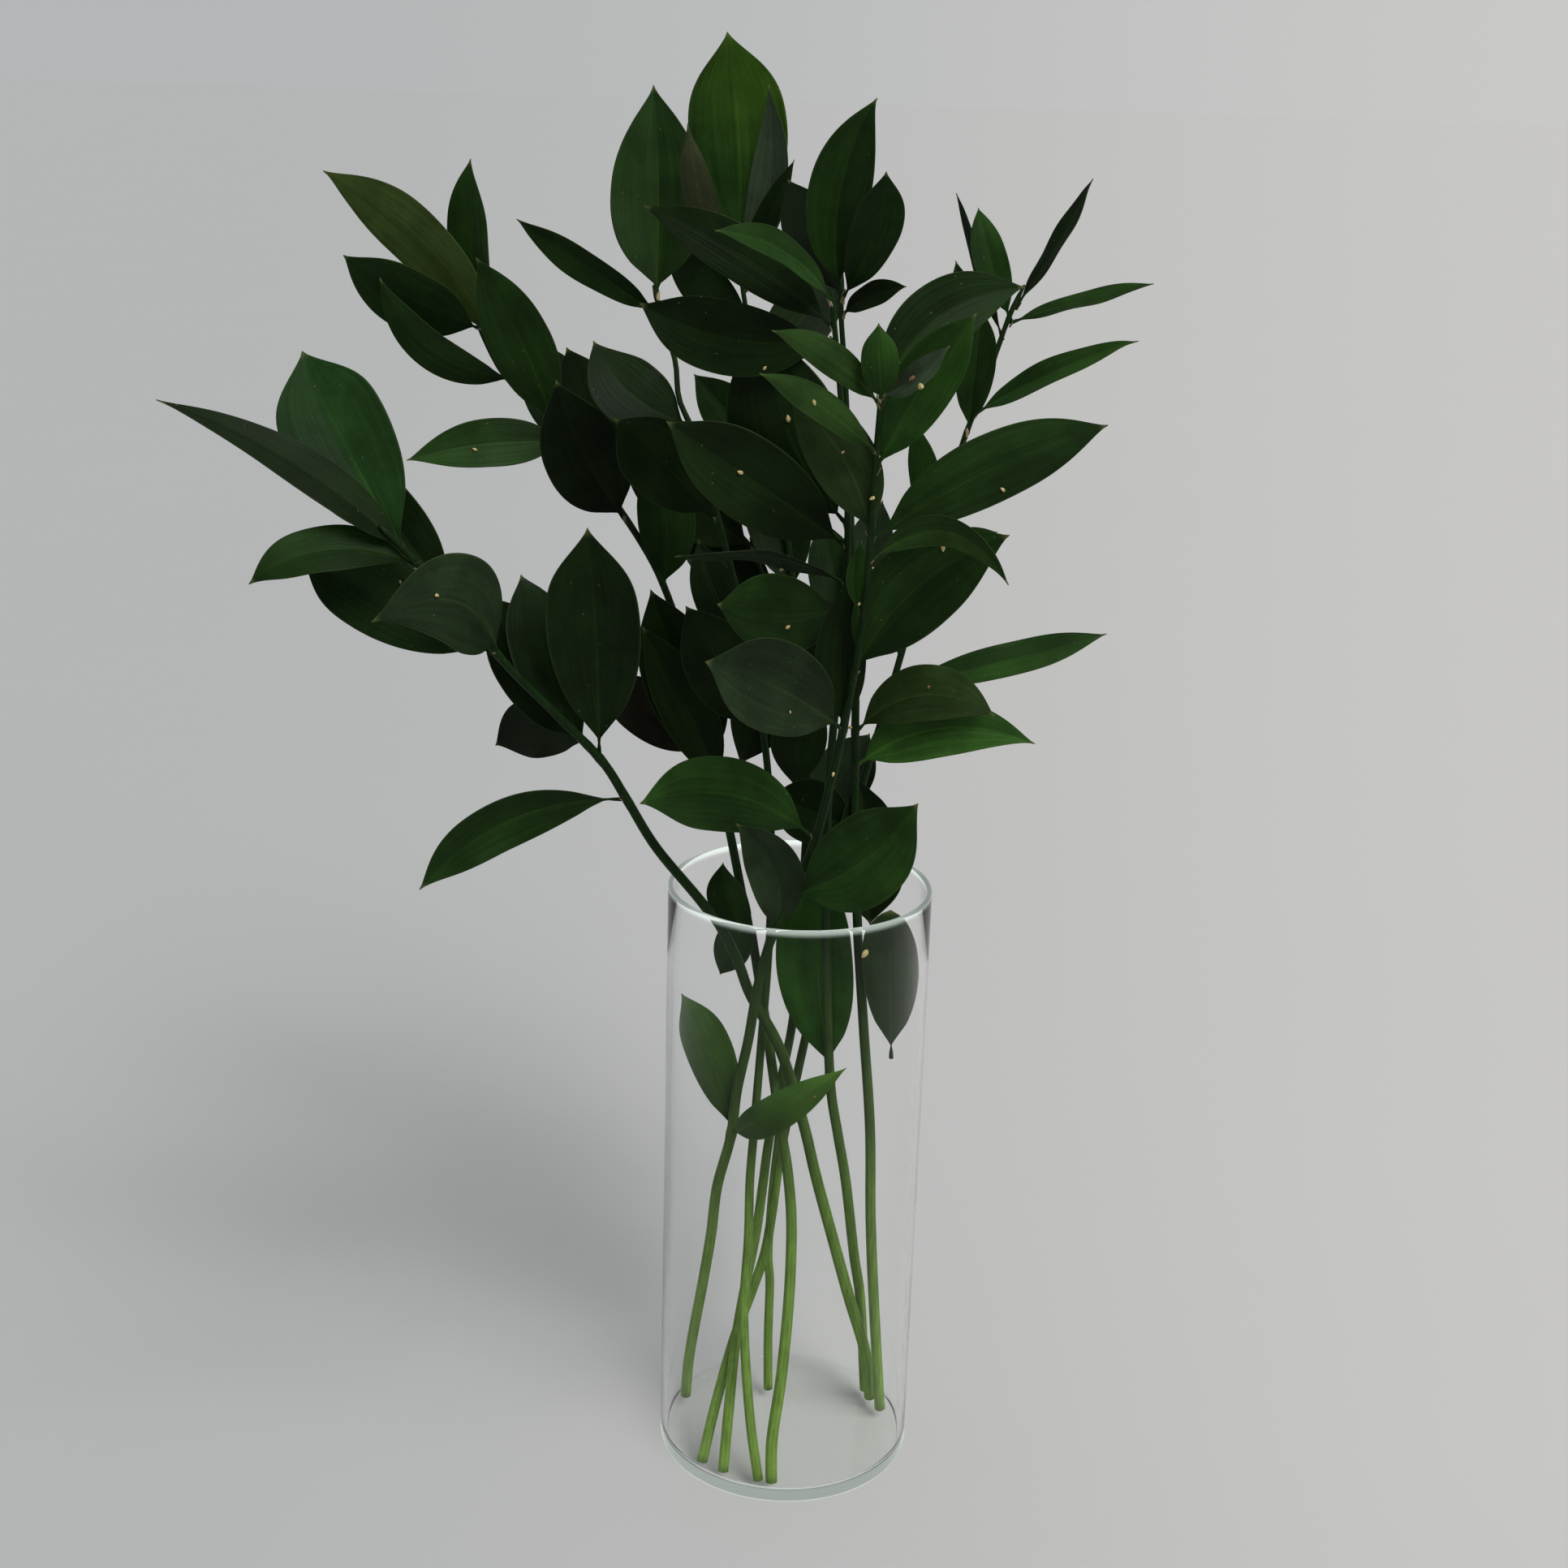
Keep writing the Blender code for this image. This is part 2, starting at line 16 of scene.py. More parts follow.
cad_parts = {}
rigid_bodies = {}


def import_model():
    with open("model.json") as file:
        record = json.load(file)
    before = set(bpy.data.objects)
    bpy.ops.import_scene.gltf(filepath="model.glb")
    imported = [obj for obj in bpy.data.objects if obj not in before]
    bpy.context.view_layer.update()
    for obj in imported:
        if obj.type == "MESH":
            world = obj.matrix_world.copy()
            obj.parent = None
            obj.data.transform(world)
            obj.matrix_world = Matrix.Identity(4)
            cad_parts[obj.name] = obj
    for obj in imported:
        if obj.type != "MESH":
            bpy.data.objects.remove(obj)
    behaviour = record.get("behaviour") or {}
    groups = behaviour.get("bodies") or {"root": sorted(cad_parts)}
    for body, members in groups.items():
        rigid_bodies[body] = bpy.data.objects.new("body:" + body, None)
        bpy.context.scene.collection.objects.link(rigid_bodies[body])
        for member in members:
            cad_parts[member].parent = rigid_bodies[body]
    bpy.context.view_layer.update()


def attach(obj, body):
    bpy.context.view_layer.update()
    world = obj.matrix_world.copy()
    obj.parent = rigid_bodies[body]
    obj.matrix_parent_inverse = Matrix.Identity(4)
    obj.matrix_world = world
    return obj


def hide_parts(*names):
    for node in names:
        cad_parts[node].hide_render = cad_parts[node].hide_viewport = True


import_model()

MM = 0.001
EYE = Vector((0.0, -789.6, 532.8))

# Camera: its turns in radians, and its reach in pixels of the square picture.
YAW, PITCH, ROLL = -0.0092, 0.3108, 0.0301
FOCAL_PIXELS = 2736.5
PICTURE_SIDE = 1932
SENSOR = 36

# Floor and room: the floor's half width and drop in metres, where the tone changes from left to
# right, by x over depth, and the colours of the floor and the room's edge. The floor is painted
# darker towards the left, painted shade where the light falls off.
FLOOR_HALF = 40
FLOOR_DROP = 0.0003
FLOOR_DEPTH = 1.2
SPREAD = (-0.25, 0.40)
FLOOR_COLOURS = ((0.475, 0.488, 0.494), (0.620, 0.616, 0.606))
EDGE_COLOURS = ((0.460, 0.472, 0.477), (0.592, 0.588, 0.579))

# Suns: the way towards each, its width in degrees, its strength and its colour.
SUNS = {
    "front_right": ((0.47, -0.82, 1.0), 24, 0.95, (1.0, 0.99, 0.97)),
    "right": ((0.42, -0.40, 1.0), 30, 1.40, (1.0, 0.98, 0.95)),
}

# Vase, in millimetres, with the angles of the coarse vase's arcs.
VASE_RADIUS = 50.0
VASE_HEIGHT = 240.0
WALL = 2.2
FLOOR = 4.5
LIP_RADIUS = 1.1
FOOT_ROUND = 2.7
CORNER_ROUND = 3.0
VASE_SIDES = 40
LIP_ANGLES = (0, 45, 90)
CORNER_ANGLES = (0, 30, 60, 90)

# Stems: the coarse stem's rings and bevel resolution, how its radius falls along it, and
# the parts that each row of a route is split into.
STEM_STEPS = 15
STEM_SIDES_RES = 1
TAPER = 1.4
ROUTE_PARTS = 8

# Leaves, in millimetres; the outline is (place along the leaf, share of the half width)
# for a leaf that is widest at OUTLINE_BELLY, and BELLY is where most leaves are widest.
# POINT is the drawn-out tip's share of the leaf, which leaves that are widest beyond
# BLUNT_BELLY don't have, and POINT_WIDTH and POINT_POWER shape it. All keep apart by
# CLEAR, but a leaf's first rings may touch its own stem and the leaves beside it there.
BLADE = 0.9
PETIOLE_HALF = 0.95
TIP_HALF = 0.4
GROOVE = 0.16
OUTLINE = ((0.0, 0.0), (0.05, 0.0), (0.15, 0.60), (0.35, 0.99),
           (0.59, 0.93), (0.82, 0.48), (1.0, 0.0))
OUTLINE_BELLY = 0.43
BELLY = 0.52
POINT = 0.16
POINT_WIDTH = 0.8
POINT_POWER = 1.25
MIDRIB_STEP = 0.01
BLUNT_BELLY = 0.65
FIRST_BLADE_RING = 2
FIRST_FREE_RING = 3
CLEAR = 0.8

# Each stem: base radius, top radius, then its route (x, z, y) from the cut end upwards.
STEMS = {
    "stem_front": (2.3, 1.0, (
        (-40.5, 15.5, 12), (-39, 35, 10), (-34, 68, 6), (-31, 90, 3), (-29, 111, 0),
        (-24, 133, -4), (-22, 153, -9), (-18, 175, -13), (-15, 197, -17), (-10, 218, -20),
        (-5, 231, -22), (2, 248, -25), (7, 265, -29), (14, 301, -38), (20, 344, -50),
        (21, 365, -55), (22, 401, -62), (23, 426, -66))),
    "stem_left": (2.4, 1.1, (
        (35.7, 17.4, 17), (33, 38, 15), (25, 64, 12), (17, 92, 8), (10, 117, 5),
        (4, 141, 2), (-6, 172, -6), (-18, 194, -9), (-24, 209, -10.5), (-35, 228, -12.5),
        (-54.5, 252, -17), (-66, 271, -20.5), (-75.5, 286, -24), (-92, 303, -29),
        (-110, 321, -36), (-128, 343, -42), (-145, 361, -46), (-156, 372, -48))),
    "stem_top_right": (2.3, 0.9, (
        (40, 12.4, 9), (35.5, 60, 6), (32.5, 99, 4), (30.5, 140, 1.5), (26, 185, -1),
        (21.5, 235, -2), (19, 285, 1), (17.5, 330, 6), (13.5, 386, 11), (10, 430, 14),
        (8, 449, 15), (7, 464, 16))),
    "stem_middle": (2.2, 0.9, (
        (33.5, 21.2, 23), (30, 62, 18), (26.5, 83, 15.5), (22, 115, 11), (18, 136, 7),
        (14.5, 156, 3), (12, 190, -3), (10, 230, -9), (9.5, 280, -15), (12, 330, -18),
        (13, 360, -20), (12.5, 385, -22), (9, 420, -24), (6, 445, -25), (4, 460, -25))),
    "stem_right": (2.1, 0.9, (
        (-32.3, -16, -32), (-27.5, 11, -26), (-21, 41, -17), (-14.5, 63, -8), (-9.5, 81, -3),
        (-7, 99, 0), (-5, 120, 4), (-3, 135, 7), (2, 165, 13), (8, 200, 19), (14, 240, 25),
        (22, 280, 34), (32, 321, 46), (39, 352, 54), (46, 383, 60), (53, 410, 65),
        (59, 428, 68), (66, 452, 71), (71, 464, 73))),
    "stem_upper_left": (2.3, 1.0, (
        (-3.8, -24.8, -44), (-4, -4, -40), (-1, 26, -34), (1, 63, -26), (1, 95, -19),
        (-1, 117, -14), (-4, 135, -11), (-8, 160, 0), (-12, 185, 7), (-16, 206, 12),
        (-22, 235, 18), (-29, 268, 27), (-39, 308, 40), (-51, 348, 50), (-64, 373, 56),
        (-91, 410, 64), (-110, 427, 67), (-120, 446, 70))),
    "stem_middle_left": (1.9, 0.9, (
        (-9.2, -24, -43), (-13, 3, -38), (-16, 36, -33), (-17, 60, -25), (-16, 88, -18),
        (-16, 114, -12), (-15, 135, -8), (-13, 175, -1), (-11.5, 205, 4), (-11, 240, 9),
        (-13, 280, 16), (-20, 325, 22), (-32, 372, 27), (-43, 408, 34), (-48.5, 421, 40),
        (-50, 434, 46), (-54, 446, 53), (-58, 460, 60))),
    "stem_top": (2.1, 0.9, (
        (-23.6, -20.3, -38), (-22, 9, -32), (-20, 41, -22), (-17, 65, -14), (-13, 91, -8),
        (-11, 111, -4), (-9, 132, 0), (-5, 158, 6), (-1, 185, 13), (0.5, 220, 21),
        (1.5, 280, 34), (-3, 330, 47), (-9, 375, 60), (-17, 418, 72), (-25, 450, 80),
        (-29, 475, 86))),
    "stem_back": (1.9, 0.9, (
        (-6.4, 19.9, 21), (-7, 43, 20), (-7, 69, 19), (-8, 82, 18.5), (-7, 110, 18),
        (-5, 137, 18), (-3.5, 165, 18), (0, 190, 22), (3, 230, 31), (3, 260, 40),
        (-2, 300, 54), (-10, 335, 68), (-22, 372, 82))),
}

# Each leaf: height z of its root on the stem, its tip (x, z), its lean (-1 all the way
# towards EYE, 1 away from it), its width, the turn of the blade about its midrib
# (0 faces EYE), its sideways bow, its arch towards EYE and, where they differ from the
# usual, the extra turn at the root, the place where it is widest and its groove.
LEAVES = {
    "stem_front": (
        (135, 20.5, 164.5, -0.5, 14, 0, 2, 12),
        (134, -44.5, 193.5, 0, 18, 0, 3, 0, 0, 0.6),
        (218, -25, 263, -0.3, 20, 0, 8, 0),
        (235, 42.5, 273, -0.8, 32, 5, 5.5, 0, 0, 0.55),
        (258, -61.5, 269.5, -0.6, 27, 5, 9.5, 0, 0, 0.6),
        (301, -37, 325, -0.8, 32, 0, 3, 0, 0, 0.58),
        (322, 71.5, 376, -0.3, 30, 0, -8, 0),
        (345, 18.5, 372, -0.1, 8, -20, -2, 0),
        (364, 72.5, 357.5, -0.5, 11, -25, -14.5, 0, 0, 0.5),
        (372, 104, 416.5, 0.3, 23, 10, -4, 0, 0, 0.54),
        (374, -10, 424, -0.2, 22, 0, 5, 0),
        (397, 55, 454, -0.2, 20, 0, -2, 0, 0, 0.56, 0.3),
        (404, -20, 431, -0.6, 11, -25, 2, 0),
        (421, -16, 446, -0.4, 11, -20, 3, 0),
        (422, 71.5, 463.5, 0.6, 22, 0, -10, 0),
        (423, 21, 449.5, -0.1, 12, 0, 0, 0, 0, 0.6),
        (424, 45.5, 442.5, -0.1, 9, 30, 2, 0),
        (302, 14, 358, -0.3, 18, -10, -2, 0, 0, 0.46)),
    "stem_left": (
        (271, -145, 232, -0.4, 20, 20, 10, 0, 32, 0.56),
        (291, -115, 290.5, 0.5, 22, 15, 7, 0, 0, 0.56),
        (287, -81, 374, -0.5, 33, 8, 1, 0, 0, 0.62, 0.3),
        (300, -105, 356, 0.4, 26, -20, 0, 0),
        (291, -118, 348, 0.6, 28, 15, 0, 0),
        (326, -160, 336, -0.9, 33, -10, 13.5, 4, 0, 0.44),
        (325, -186, 363, 0.2, 27, 10, -2, 0, 0, 0.62),
        (357, -205, 349, -0.5, 18, -30, 9, 0, 0, 0.58),
        (362, -235, 415, -0.3, 16, -30, 6, 0, 0, 0.4),
        (361, -182, 434, 0.5, 37, 8, -2, 0, 0, 0.62, 0.35),
        (344, -170, 400, 0.8, 22, 30, 0, 0)),
    "stem_top_right": (
        (287, 85.5, 297.8, -0.6, 21, 0, -10, 0, 0, 0.46),
        (300, 70, 308, -0.2, 22, 20, -11, 0),
        (330, 3, 380, 0.7, 20, 0, 0, 0),
        (287, 27, 224, 0.2, 26, 10, -2, 0, 0, 0.6, 0.25),
        (262, -12, 275, 0.2, 24, 0, 0, 0),
        (350, 25, 387, 0.6, 16, 0, 0, 0),
        (459, 17.5, 525, -0.2, 22, 0, -7, 0, 0, 0.5, 0.3),
        (457, 21.5, 501, -0.5, 18, -20, 3, 0, 0, 0.62),
        (458, -12, 497, 0.8, 20, 0, 0, 0),
        (452, 30, 462.5, -0.2, 9, 20, -2, 0)),
    "stem_middle": (
        (161, 7, 252, -0.1, 31, 0, -3, 8, 0, 0.55, 0.25),
        (347, -34, 347, -0.6, 28, -10, -3, 0, 0, 0.56),
        (352, -6, 330, -0.4, 16, -40, 0, 0),
        (356, -49, 363, -0.5, 14, 72, 6, 0),
        (370, -53, 413, -0.4, 29, 0, 0, 0, 0, 0.55),
        (378, -18, 448, 0.2, 40, -5, -7, 0),
        (447, -62, 487, 0.2, 18, 0, 4, 0),
        (456, -37, 479.5, -0.5, 12, -40, 6, 0),
        (443, -63, 454, 0.5, 25, 0, -6, 0, 0, 0.56)),
    "stem_right": (
        (318, 109, 341, 0.3, 14, 20, 1, 0, 0, 0.55),
        (357, 67, 377, -0.1, 12, 0, -4, 0),
        (372, 35, 416, -0.3, 12, 10, 1, 0),
        (412, 57, 456, -0.2, 15, 0, 0, 0, 0, 0.58),
        (419, 112, 447, -0.4, 13, 45, -2, 0, 0, 0.46),
        (430, 46.5, 472, 0.5, 12, 20, 0, 0),
        (445, 46, 494.5, 0.5, 7, 50, 0, 0),
        (451, 116, 466, -0.2, 9, 50, -1, 0),
        (452, 53.5, 490, 0.2, 13, 0, -1, 0),
        (457, 92, 501, 0.3, 9, 50, 1.5, 0),
        (330, 14, 372, 1, 24, 10, 0, 0),
        (290, 60, 318, 0.9, 22, 0, 0, 0)),
    "stem_upper_left": (
        (218, -29.5, 247, -0.1, 16, 20, -3, 0),
        (224, -30, 201, -0.1, 16, 0, 0, 0),
        (276, -61, 338, -0.3, 21, 0, 2, 0),
        (283, -58, 352, 0.1, 30, 0, 0, 0),
        (290, -78, 319, 0.6, 22, 0, 0, 0),
        (352, -59, 402, 0.2, 22, 0, 4, 0),
        (377, -92, 426, -0.7, 31, 0, -3, 0, 0, 0.5),
        (385, -88.5, 438, 0.3, 28, 0, 2, 0),
        (404, -146, 396, -0.6, 19, -15, 3, 0, 0, 0.47),
        (400, -100, 440, 1, 24, 0, 0, 0),
        (410, -120, 468, -0.3, 24, 10, 2, 0, 0, 0.5, 0.3),
        (426, -154, 460, -0.5, 16, 30, -10, 0),
        (437, -173, 495, 0.4, 27, 38, 9, 0),
        (441, -121.5, 501, 0.3, 22, 44, -3, 0),
        (443, -166.5, 467, -0.4, 26, 30, -2, 0)),
    "stem_middle_left": (
        (378, -71.5, 413.5, -0.4, 28, 0, 1, 0, 0, 0.58),
        (412, -79, 440.5, 0.2, 27, 0, -6, 0, 0, 0.5),
        (450, -106, 481, -0.3, 14, 35, 0, 0),
        (456, -58.7, 527, 0.9, 35, 5, 1, 0, 0, 0.46),
        (300, -45, 346, -0.3, 28, 0, 0, 0),
        (325, -41, 371, 0.5, 18, 0, -2, 0)),
    "stem_top": (
        (318, -3, 278, -0.3, 22, 0, 0, 0),
        (338, -24, 286, -0.4, 26, 0, 0, 0),
        (398, -43.5, 430, 0.2, 20, 0, 0, 0),
        (440, -54, 476, 0.7, 18, 0, 0, 0),
        (460, -29, 503, 0.7, 20, 20, 0, 0),
        (466, -20, 528, -0.6, 16, 25, 6, 0, 0, 0.45),
        (470, -34, 544.5, -0.6, 37, 0, 2, 0, 0, 0.58),
        (470, -47, 515, -0.7, 12, 10, -6, 0, 0, 0.62),
        (466, -10, 504, -0.2, 9, 0, 0, 0),
        (350, -20, 415, 0.9, 26, 0, 0, 0),
        (380, -30, 430, 1, 26, 0, 0, 0),
        (300, 0, 345, 1, 26, 0, 0, 0),
        (430, 8, 470, 0.5, 24, 0, 0, 0)),
    "stem_back": (
        (368, -70, 401, -0.5, 26, 0, 0, 0),
        (340, -50, 385, 0.7, 26, 0, 0, 0),
        (300, -40, 335, 0.8, 26, 0, 0, 0),
        (262, 24, 300, 0.8, 24, 0, 0, 0),
        (320, 22, 350, 0.9, 22, 0, 0, 0)),
}

LOOSE_LEAF = ((37.5, 169, -4), (34.5, 230), 0, 21, 10, 0, 0, 0, 0.66)

# Length that a leaf has at least when it leans all the way, and how much longer than
# its seen length a long one may be.
FULL_LENGTH = 70.0
FULL_SHARE = 1.06

# How far a leaf may be bent clear of what already stands there: tip depth, arch, turn,
# and how much of each counts as one step of change.
TIP_SHIFTS = (0, 6, -6, 12, -12, 18, -18, 26, -26, 36, -36)
ARCH_SHIFTS = (0, 6, -6, 12, -12)
TURN_SHIFTS = (0, 20, -20)
ONE_STEP = (6, 4, 14)


def place(x, z, y):
    """The real point, in millimetres, seen at (x, z) on the plane y = 0 with depth y."""
    share = (y - EYE.y) / -EYE.y
    return EYE + (Vector((x, 0.0, z)) - EYE) * share


def smooth_route(rows, steps):
    """Points on a Catmull-Rom curve through rows, evenly spaced by row length."""
    rows = [Vector(row) for row in rows]
    padded = [2 * rows[0] - rows[1], *rows, 2 * rows[-1] - rows[-2]]
    fine = []
    for a, b, c, d in zip(padded, padded[1:], padded[2:], padded[3:]):
        for k in range(ROUTE_PARTS):
            t = k / ROUTE_PARTS
            fine.append(0.5 * (2 * b + (c - a) * t + (2 * a - 5 * b + 4 * c - d) * t * t
                               + (3 * b - a - 3 * c + d) * t * t * t))
    fine.append(rows[-1])
    lengths = [0.0]
    for p, q in zip(fine, fine[1:]):
        lengths.append(lengths[-1] + (q - p).length)
    route = []
    k = 0
    for i in range(steps):
        want = lengths[-1] * i / (steps - 1)
        while k < len(fine) - 2 and lengths[k + 1] < want:
            k += 1
        part = (want - lengths[k]) / (lengths[k + 1] - lengths[k])
        route.append(fine[k].lerp(fine[k + 1], part))
    return route


def at_height(route, z):
    """The point of a stem's route (x, z, y rows) at row height z."""
    for p, q in zip(route, route[1:]):
        if p.y <= z <= q.y:
            return p.lerp(q, (z - p.y) / (q.y - p.y))
    return route[-1].copy()


def skew(belly):
    """How far along the outline is moved, so that the leaf is widest at belly."""
    return (belly - OUTLINE_BELLY) / (OUTLINE_BELLY * (1 - OUTLINE_BELLY))


def point_limit(t):
    """The share of the half width that the drawn-out tip leaves at t."""
    return POINT_WIDTH * ((1 - t) / POINT) ** POINT_POWER


def pointed(share, t, belly):
    """The share of the half width at t, drawn in to a point near the tip."""
    return share if belly > BLUNT_BELLY else min(share, point_limit(t))


def leaf_line(root, tip, turn, bow, arch, twist):
    """Two functions of t: the midrib's point, and the blade's way across and normal."""
    chord = tip - root
    eye = (EYE - (root + tip) / 2).normalized()
    side = chord.cross(eye).normalized()
    front = side.cross(chord.normalized())

    def midrib(t):
        return root + chord * t + (side * bow + front * arch) * (4 * t * (1 - t))

    def blade_at(t):
        along = (midrib(t + MIDRIB_STEP) - midrib(t - MIDRIB_STEP)).normalized()
        across = along.cross(front).normalized()
        up = across.cross(along)
        angle = radians(turn + twist * (1 - t) ** 2)
        return across * cos(angle) + up * sin(angle), up * cos(angle) - across * sin(angle)

    return midrib, blade_at


def leaf_mesh(root, tip, width, turn, bow, arch, twist=0.0, belly=BELLY, groove=GROOVE,
              first=0, grow=0.0):
    """Vertices and faces of a closed blade from root to tip, both real points."""
    midrib, blade_at = leaf_line(root, tip, turn, bow, arch, twist)
    verts = []
    for t, share in OUTLINE[first:]:
        t += skew(belly) * t * (1 - t)
        share = pointed(share, t, belly)
        blade, normal = blade_at(t)
        least = PETIOLE_HALF if t < 0.5 else TIP_HALF
        half = max(width / 2 * share, least) + grow / 2
        rise = normal * (half * groove if share else 0.0)
        thick = normal * (BLADE / 2 + grow)
        middle = midrib(t)
        left, right = middle - blade * half + rise, middle + blade * half + rise
        verts += [left + thick, middle + thick, right + thick,
                  right - thick, middle - thick, left - thick]
    faces = []
    rings = len(verts) // 6
    for ring in range(rings - 1):
        low, high = ring * 6, ring * 6 + 6
        for k in range(6):
            n = (k + 1) % 6
            a, b, c, d = low + k, low + n, high + n, high + k
            if k in (0, 4):
                faces += [(a, b, c), (a, c, d)]
            else:
                faces += [(a, b, d), (b, c, d)]
    last = (rings - 1) * 6
    for a, b, c, d in ((0, 1, 4, 5), (1, 2, 3, 4)):
        faces += [(d, c, b), (d, b, a)]
        faces += [(last + a, last + b, last + c), (last + a, last + c, last + d)]
    return verts, faces


def tree_of(verts, faces):
    return BVHTree.FromPolygons([tuple(v) for v in verts], faces)


def vase_profile(lip_angles, corner_angles, levels=(), radii=()):
    """The glass's section (radius, height), down the outside and up the inside."""
    inner = VASE_RADIUS - WALL
    lip_middle = VASE_RADIUS - LIP_RADIUS
    lip_level = VASE_HEIGHT - LIP_RADIUS
    points = [(lip_middle + LIP_RADIUS * sin(radians(a)),
               lip_level + LIP_RADIUS * cos(radians(a))) for a in lip_angles]
    points += [(VASE_RADIUS, z) for z in reversed(levels)]
    points += [(VASE_RADIUS - FOOT_ROUND * (1 - cos(radians(a))),
                FOOT_ROUND * (1 - sin(radians(a)))) for a in corner_angles]
    points += [(r, 0.0) for r in radii] + [(0.0, 0.0), (0.0, FLOOR)]
    points += [(r, FLOOR) for r in reversed(radii)]
    points += [(inner - CORNER_ROUND * (1 - sin(radians(a))),
                FLOOR + CORNER_ROUND * (1 - cos(radians(a)))) for a in corner_angles]
    points += [(inner, z) for z in levels]
    points += [(lip_middle - LIP_RADIUS * cos(radians(a)),
                lip_level + LIP_RADIUS * sin(radians(a))) for a in lip_angles[:-1]]
    return points


def added(name, data, collection=None):
    """A new object in the collection, or in the scene's own."""
    obj = bpy.data.objects.new(name, data)
    (collection or bpy.context.scene.collection).objects.link(obj)
    return obj


def evaluated_mesh(obj):
    bpy.context.view_layer.update()
    graph = bpy.context.evaluated_depsgraph_get()
    return bpy.data.meshes.new_from_object(obj.evaluated_get(graph))


def turned(name, points, sides, threshold, collection=None):
    """A new object, and the mesh that its section makes when it is turned round."""
    pairs = [(k, (k + 1) % len(points)) for k in range(len(points))]
    edges = [(a, b) for a, b in pairs if points[a][0] > 0 or points[b][0] > 0]
    mesh = bpy.data.meshes.new(name)
    mesh.from_pydata([(r * MM, 0.0, z * MM) for r, z in points], edges, [])
    obj = added(name, mesh, collection)
    screw = obj.modifiers.new("turn", "SCREW")
    screw.angle = 2 * pi
    screw.steps = sides
    screw.render_steps = sides
    screw.use_merge_vertices = True
    screw.merge_threshold = threshold
    screw.use_smooth_shade = True
    return obj, evaluated_mesh(obj)


def make_stem(name, collection):
    """The bare stem as a closed mesh, and its route rows."""
    base, top, rows = STEMS[name]
    route = smooth_route(rows, STEM_STEPS)
    curve = bpy.data.curves.new(name + "_route", "CURVE")
    curve.dimensions = "3D"
    curve.bevel_depth = 1.0 * MM
    curve.bevel_resolution = STEM_SIDES_RES
    curve.use_fill_caps = True
    spline = curve.splines.new("POLY")
    spline.points.add(len(route) - 1)
    for k, (point, row) in enumerate(zip(spline.points, route)):
        point.co = (*(place(*row) * MM), 1.0)
        point.radius = base + (top - base) * (k / (len(route) - 1)) ** TAPER
    mesh = evaluated_mesh(added(name + "_route", curve, collection))
    body = bmesh.new()
    body.from_mesh(mesh)
    bmesh.ops.remove_doubles(body, verts=body.verts, dist=0.00001)
    bmesh.ops.triangulate(body, faces=body.faces)
    body.to_mesh(mesh)
    body.free()
    return mesh, route


def tree_of_mesh(mesh):
    return tree_of([v.co / MM for v in mesh.vertices],
                   [tuple(p.vertices) for p in mesh.polygons])


def crossings(spec, owner, stems, blades, glass):
    """How many faces of the blade, grown by the clearance, meet what stands already."""
    full = tree_of(*leaf_mesh(*spec, grow=CLEAR))
    blade = tree_of(*leaf_mesh(*spec, first=FIRST_BLADE_RING, grow=CLEAR))
    free = tree_of(*leaf_mesh(*spec, first=FIRST_FREE_RING, grow=CLEAR))
    found = len(full.overlap(glass))
    for name, tree in stems.items():
        found += len((free if name == owner else full).overlap(tree))
    for name, whole, part in blades:
        found += len(blade.overlap(part) if name == owner else full.overlap(whole))
    return found


def bend_clear(root, tip_row, lean, shape, owner, stems, blades, glass):
    """The leaf with the first small change of tip depth, arch and turn that clears it."""
    width, turn, bow, arch, *rest = shape
    seen = (place(*tip_row, root.y) - root).length
    full = max(FULL_LENGTH, FULL_SHARE * seen)
    depth = root.y + lean * sqrt(full * full - seen * seen)
    changes = sorted(
        ((dy, da, dt) for dy in TIP_SHIFTS for da in ARCH_SHIFTS for dt in TURN_SHIFTS),
        key=lambda change: sum(abs(part) / one for part, one in zip(change, ONE_STEP)))
    best = None
    for dy, da, dt in changes:
        trial = (root, place(*tip_row, depth + dy), width, turn + dt, bow, arch + da, *rest)
        found = crossings(trial, owner, stems, blades, glass)
        if found == 0:
            return trial
        if best is None or found < best[1]:
            best = (trial, found)
    return best[0]


# Fine leaves: rings along, columns across, and the smooth outline.
RINGS = 44
COLUMNS = (-1.0, -0.96, -0.86, -0.70, -0.52, -0.34, -0.18, -0.06, 0.0,
           0.06, 0.18, 0.34, 0.52, 0.70, 0.86, 0.96, 1.0)
FINE_OUTLINE = ((0.0, 0.0), (0.045, 0.01), (0.09, 0.26), (0.15, 0.60), (0.24, 0.86),
                (0.35, 0.99), (0.47, 1.0), (0.59, 0.92), (0.71, 0.73), (0.82, 0.47),
                (0.90, 0.24), (0.955, 0.085), (1.0, 0.0))

# The fine blade, in millimetres: half its thickness at the edge, what middle and petiole
# add, the least half width of petiole and edge, the midrib's height and half width, how
# far the margins wave at least, and how far the tip is turned.
EDGE_THICK, MIDDLE_THICK, PETIOLE_THICK = 0.13, 0.12, 0.42
FINE_PETIOLE_HALF, EDGE_HALF = 0.85, 0.12
RIB_HEIGHT, RIB_HALF = 0.14, 0.9
SWELL = 0.35
HOOK = (-1.2, 0.6)

# The fine vase: its sides, the steps of its arcs and walls, the radii of its base's rings, and
# where its look changes, in metres: the lip, which is greener and given a painted glow, the foot,
# which is painted darker as painted shadow, and the ring at the foot, which is given a painted
# highlight.
FINE_SIDES = 160
FINE_STEPS = 8
BASE_RADII = (40.0, 20.0)
LIP_LEVELS = (0.2370, 0.2392)
FOOT_LEVELS = (0.0060, 0.0035)
RING_LEVELS = (0.0078, 0.0060)
RING_RADII = (0.0478, 0.0486)

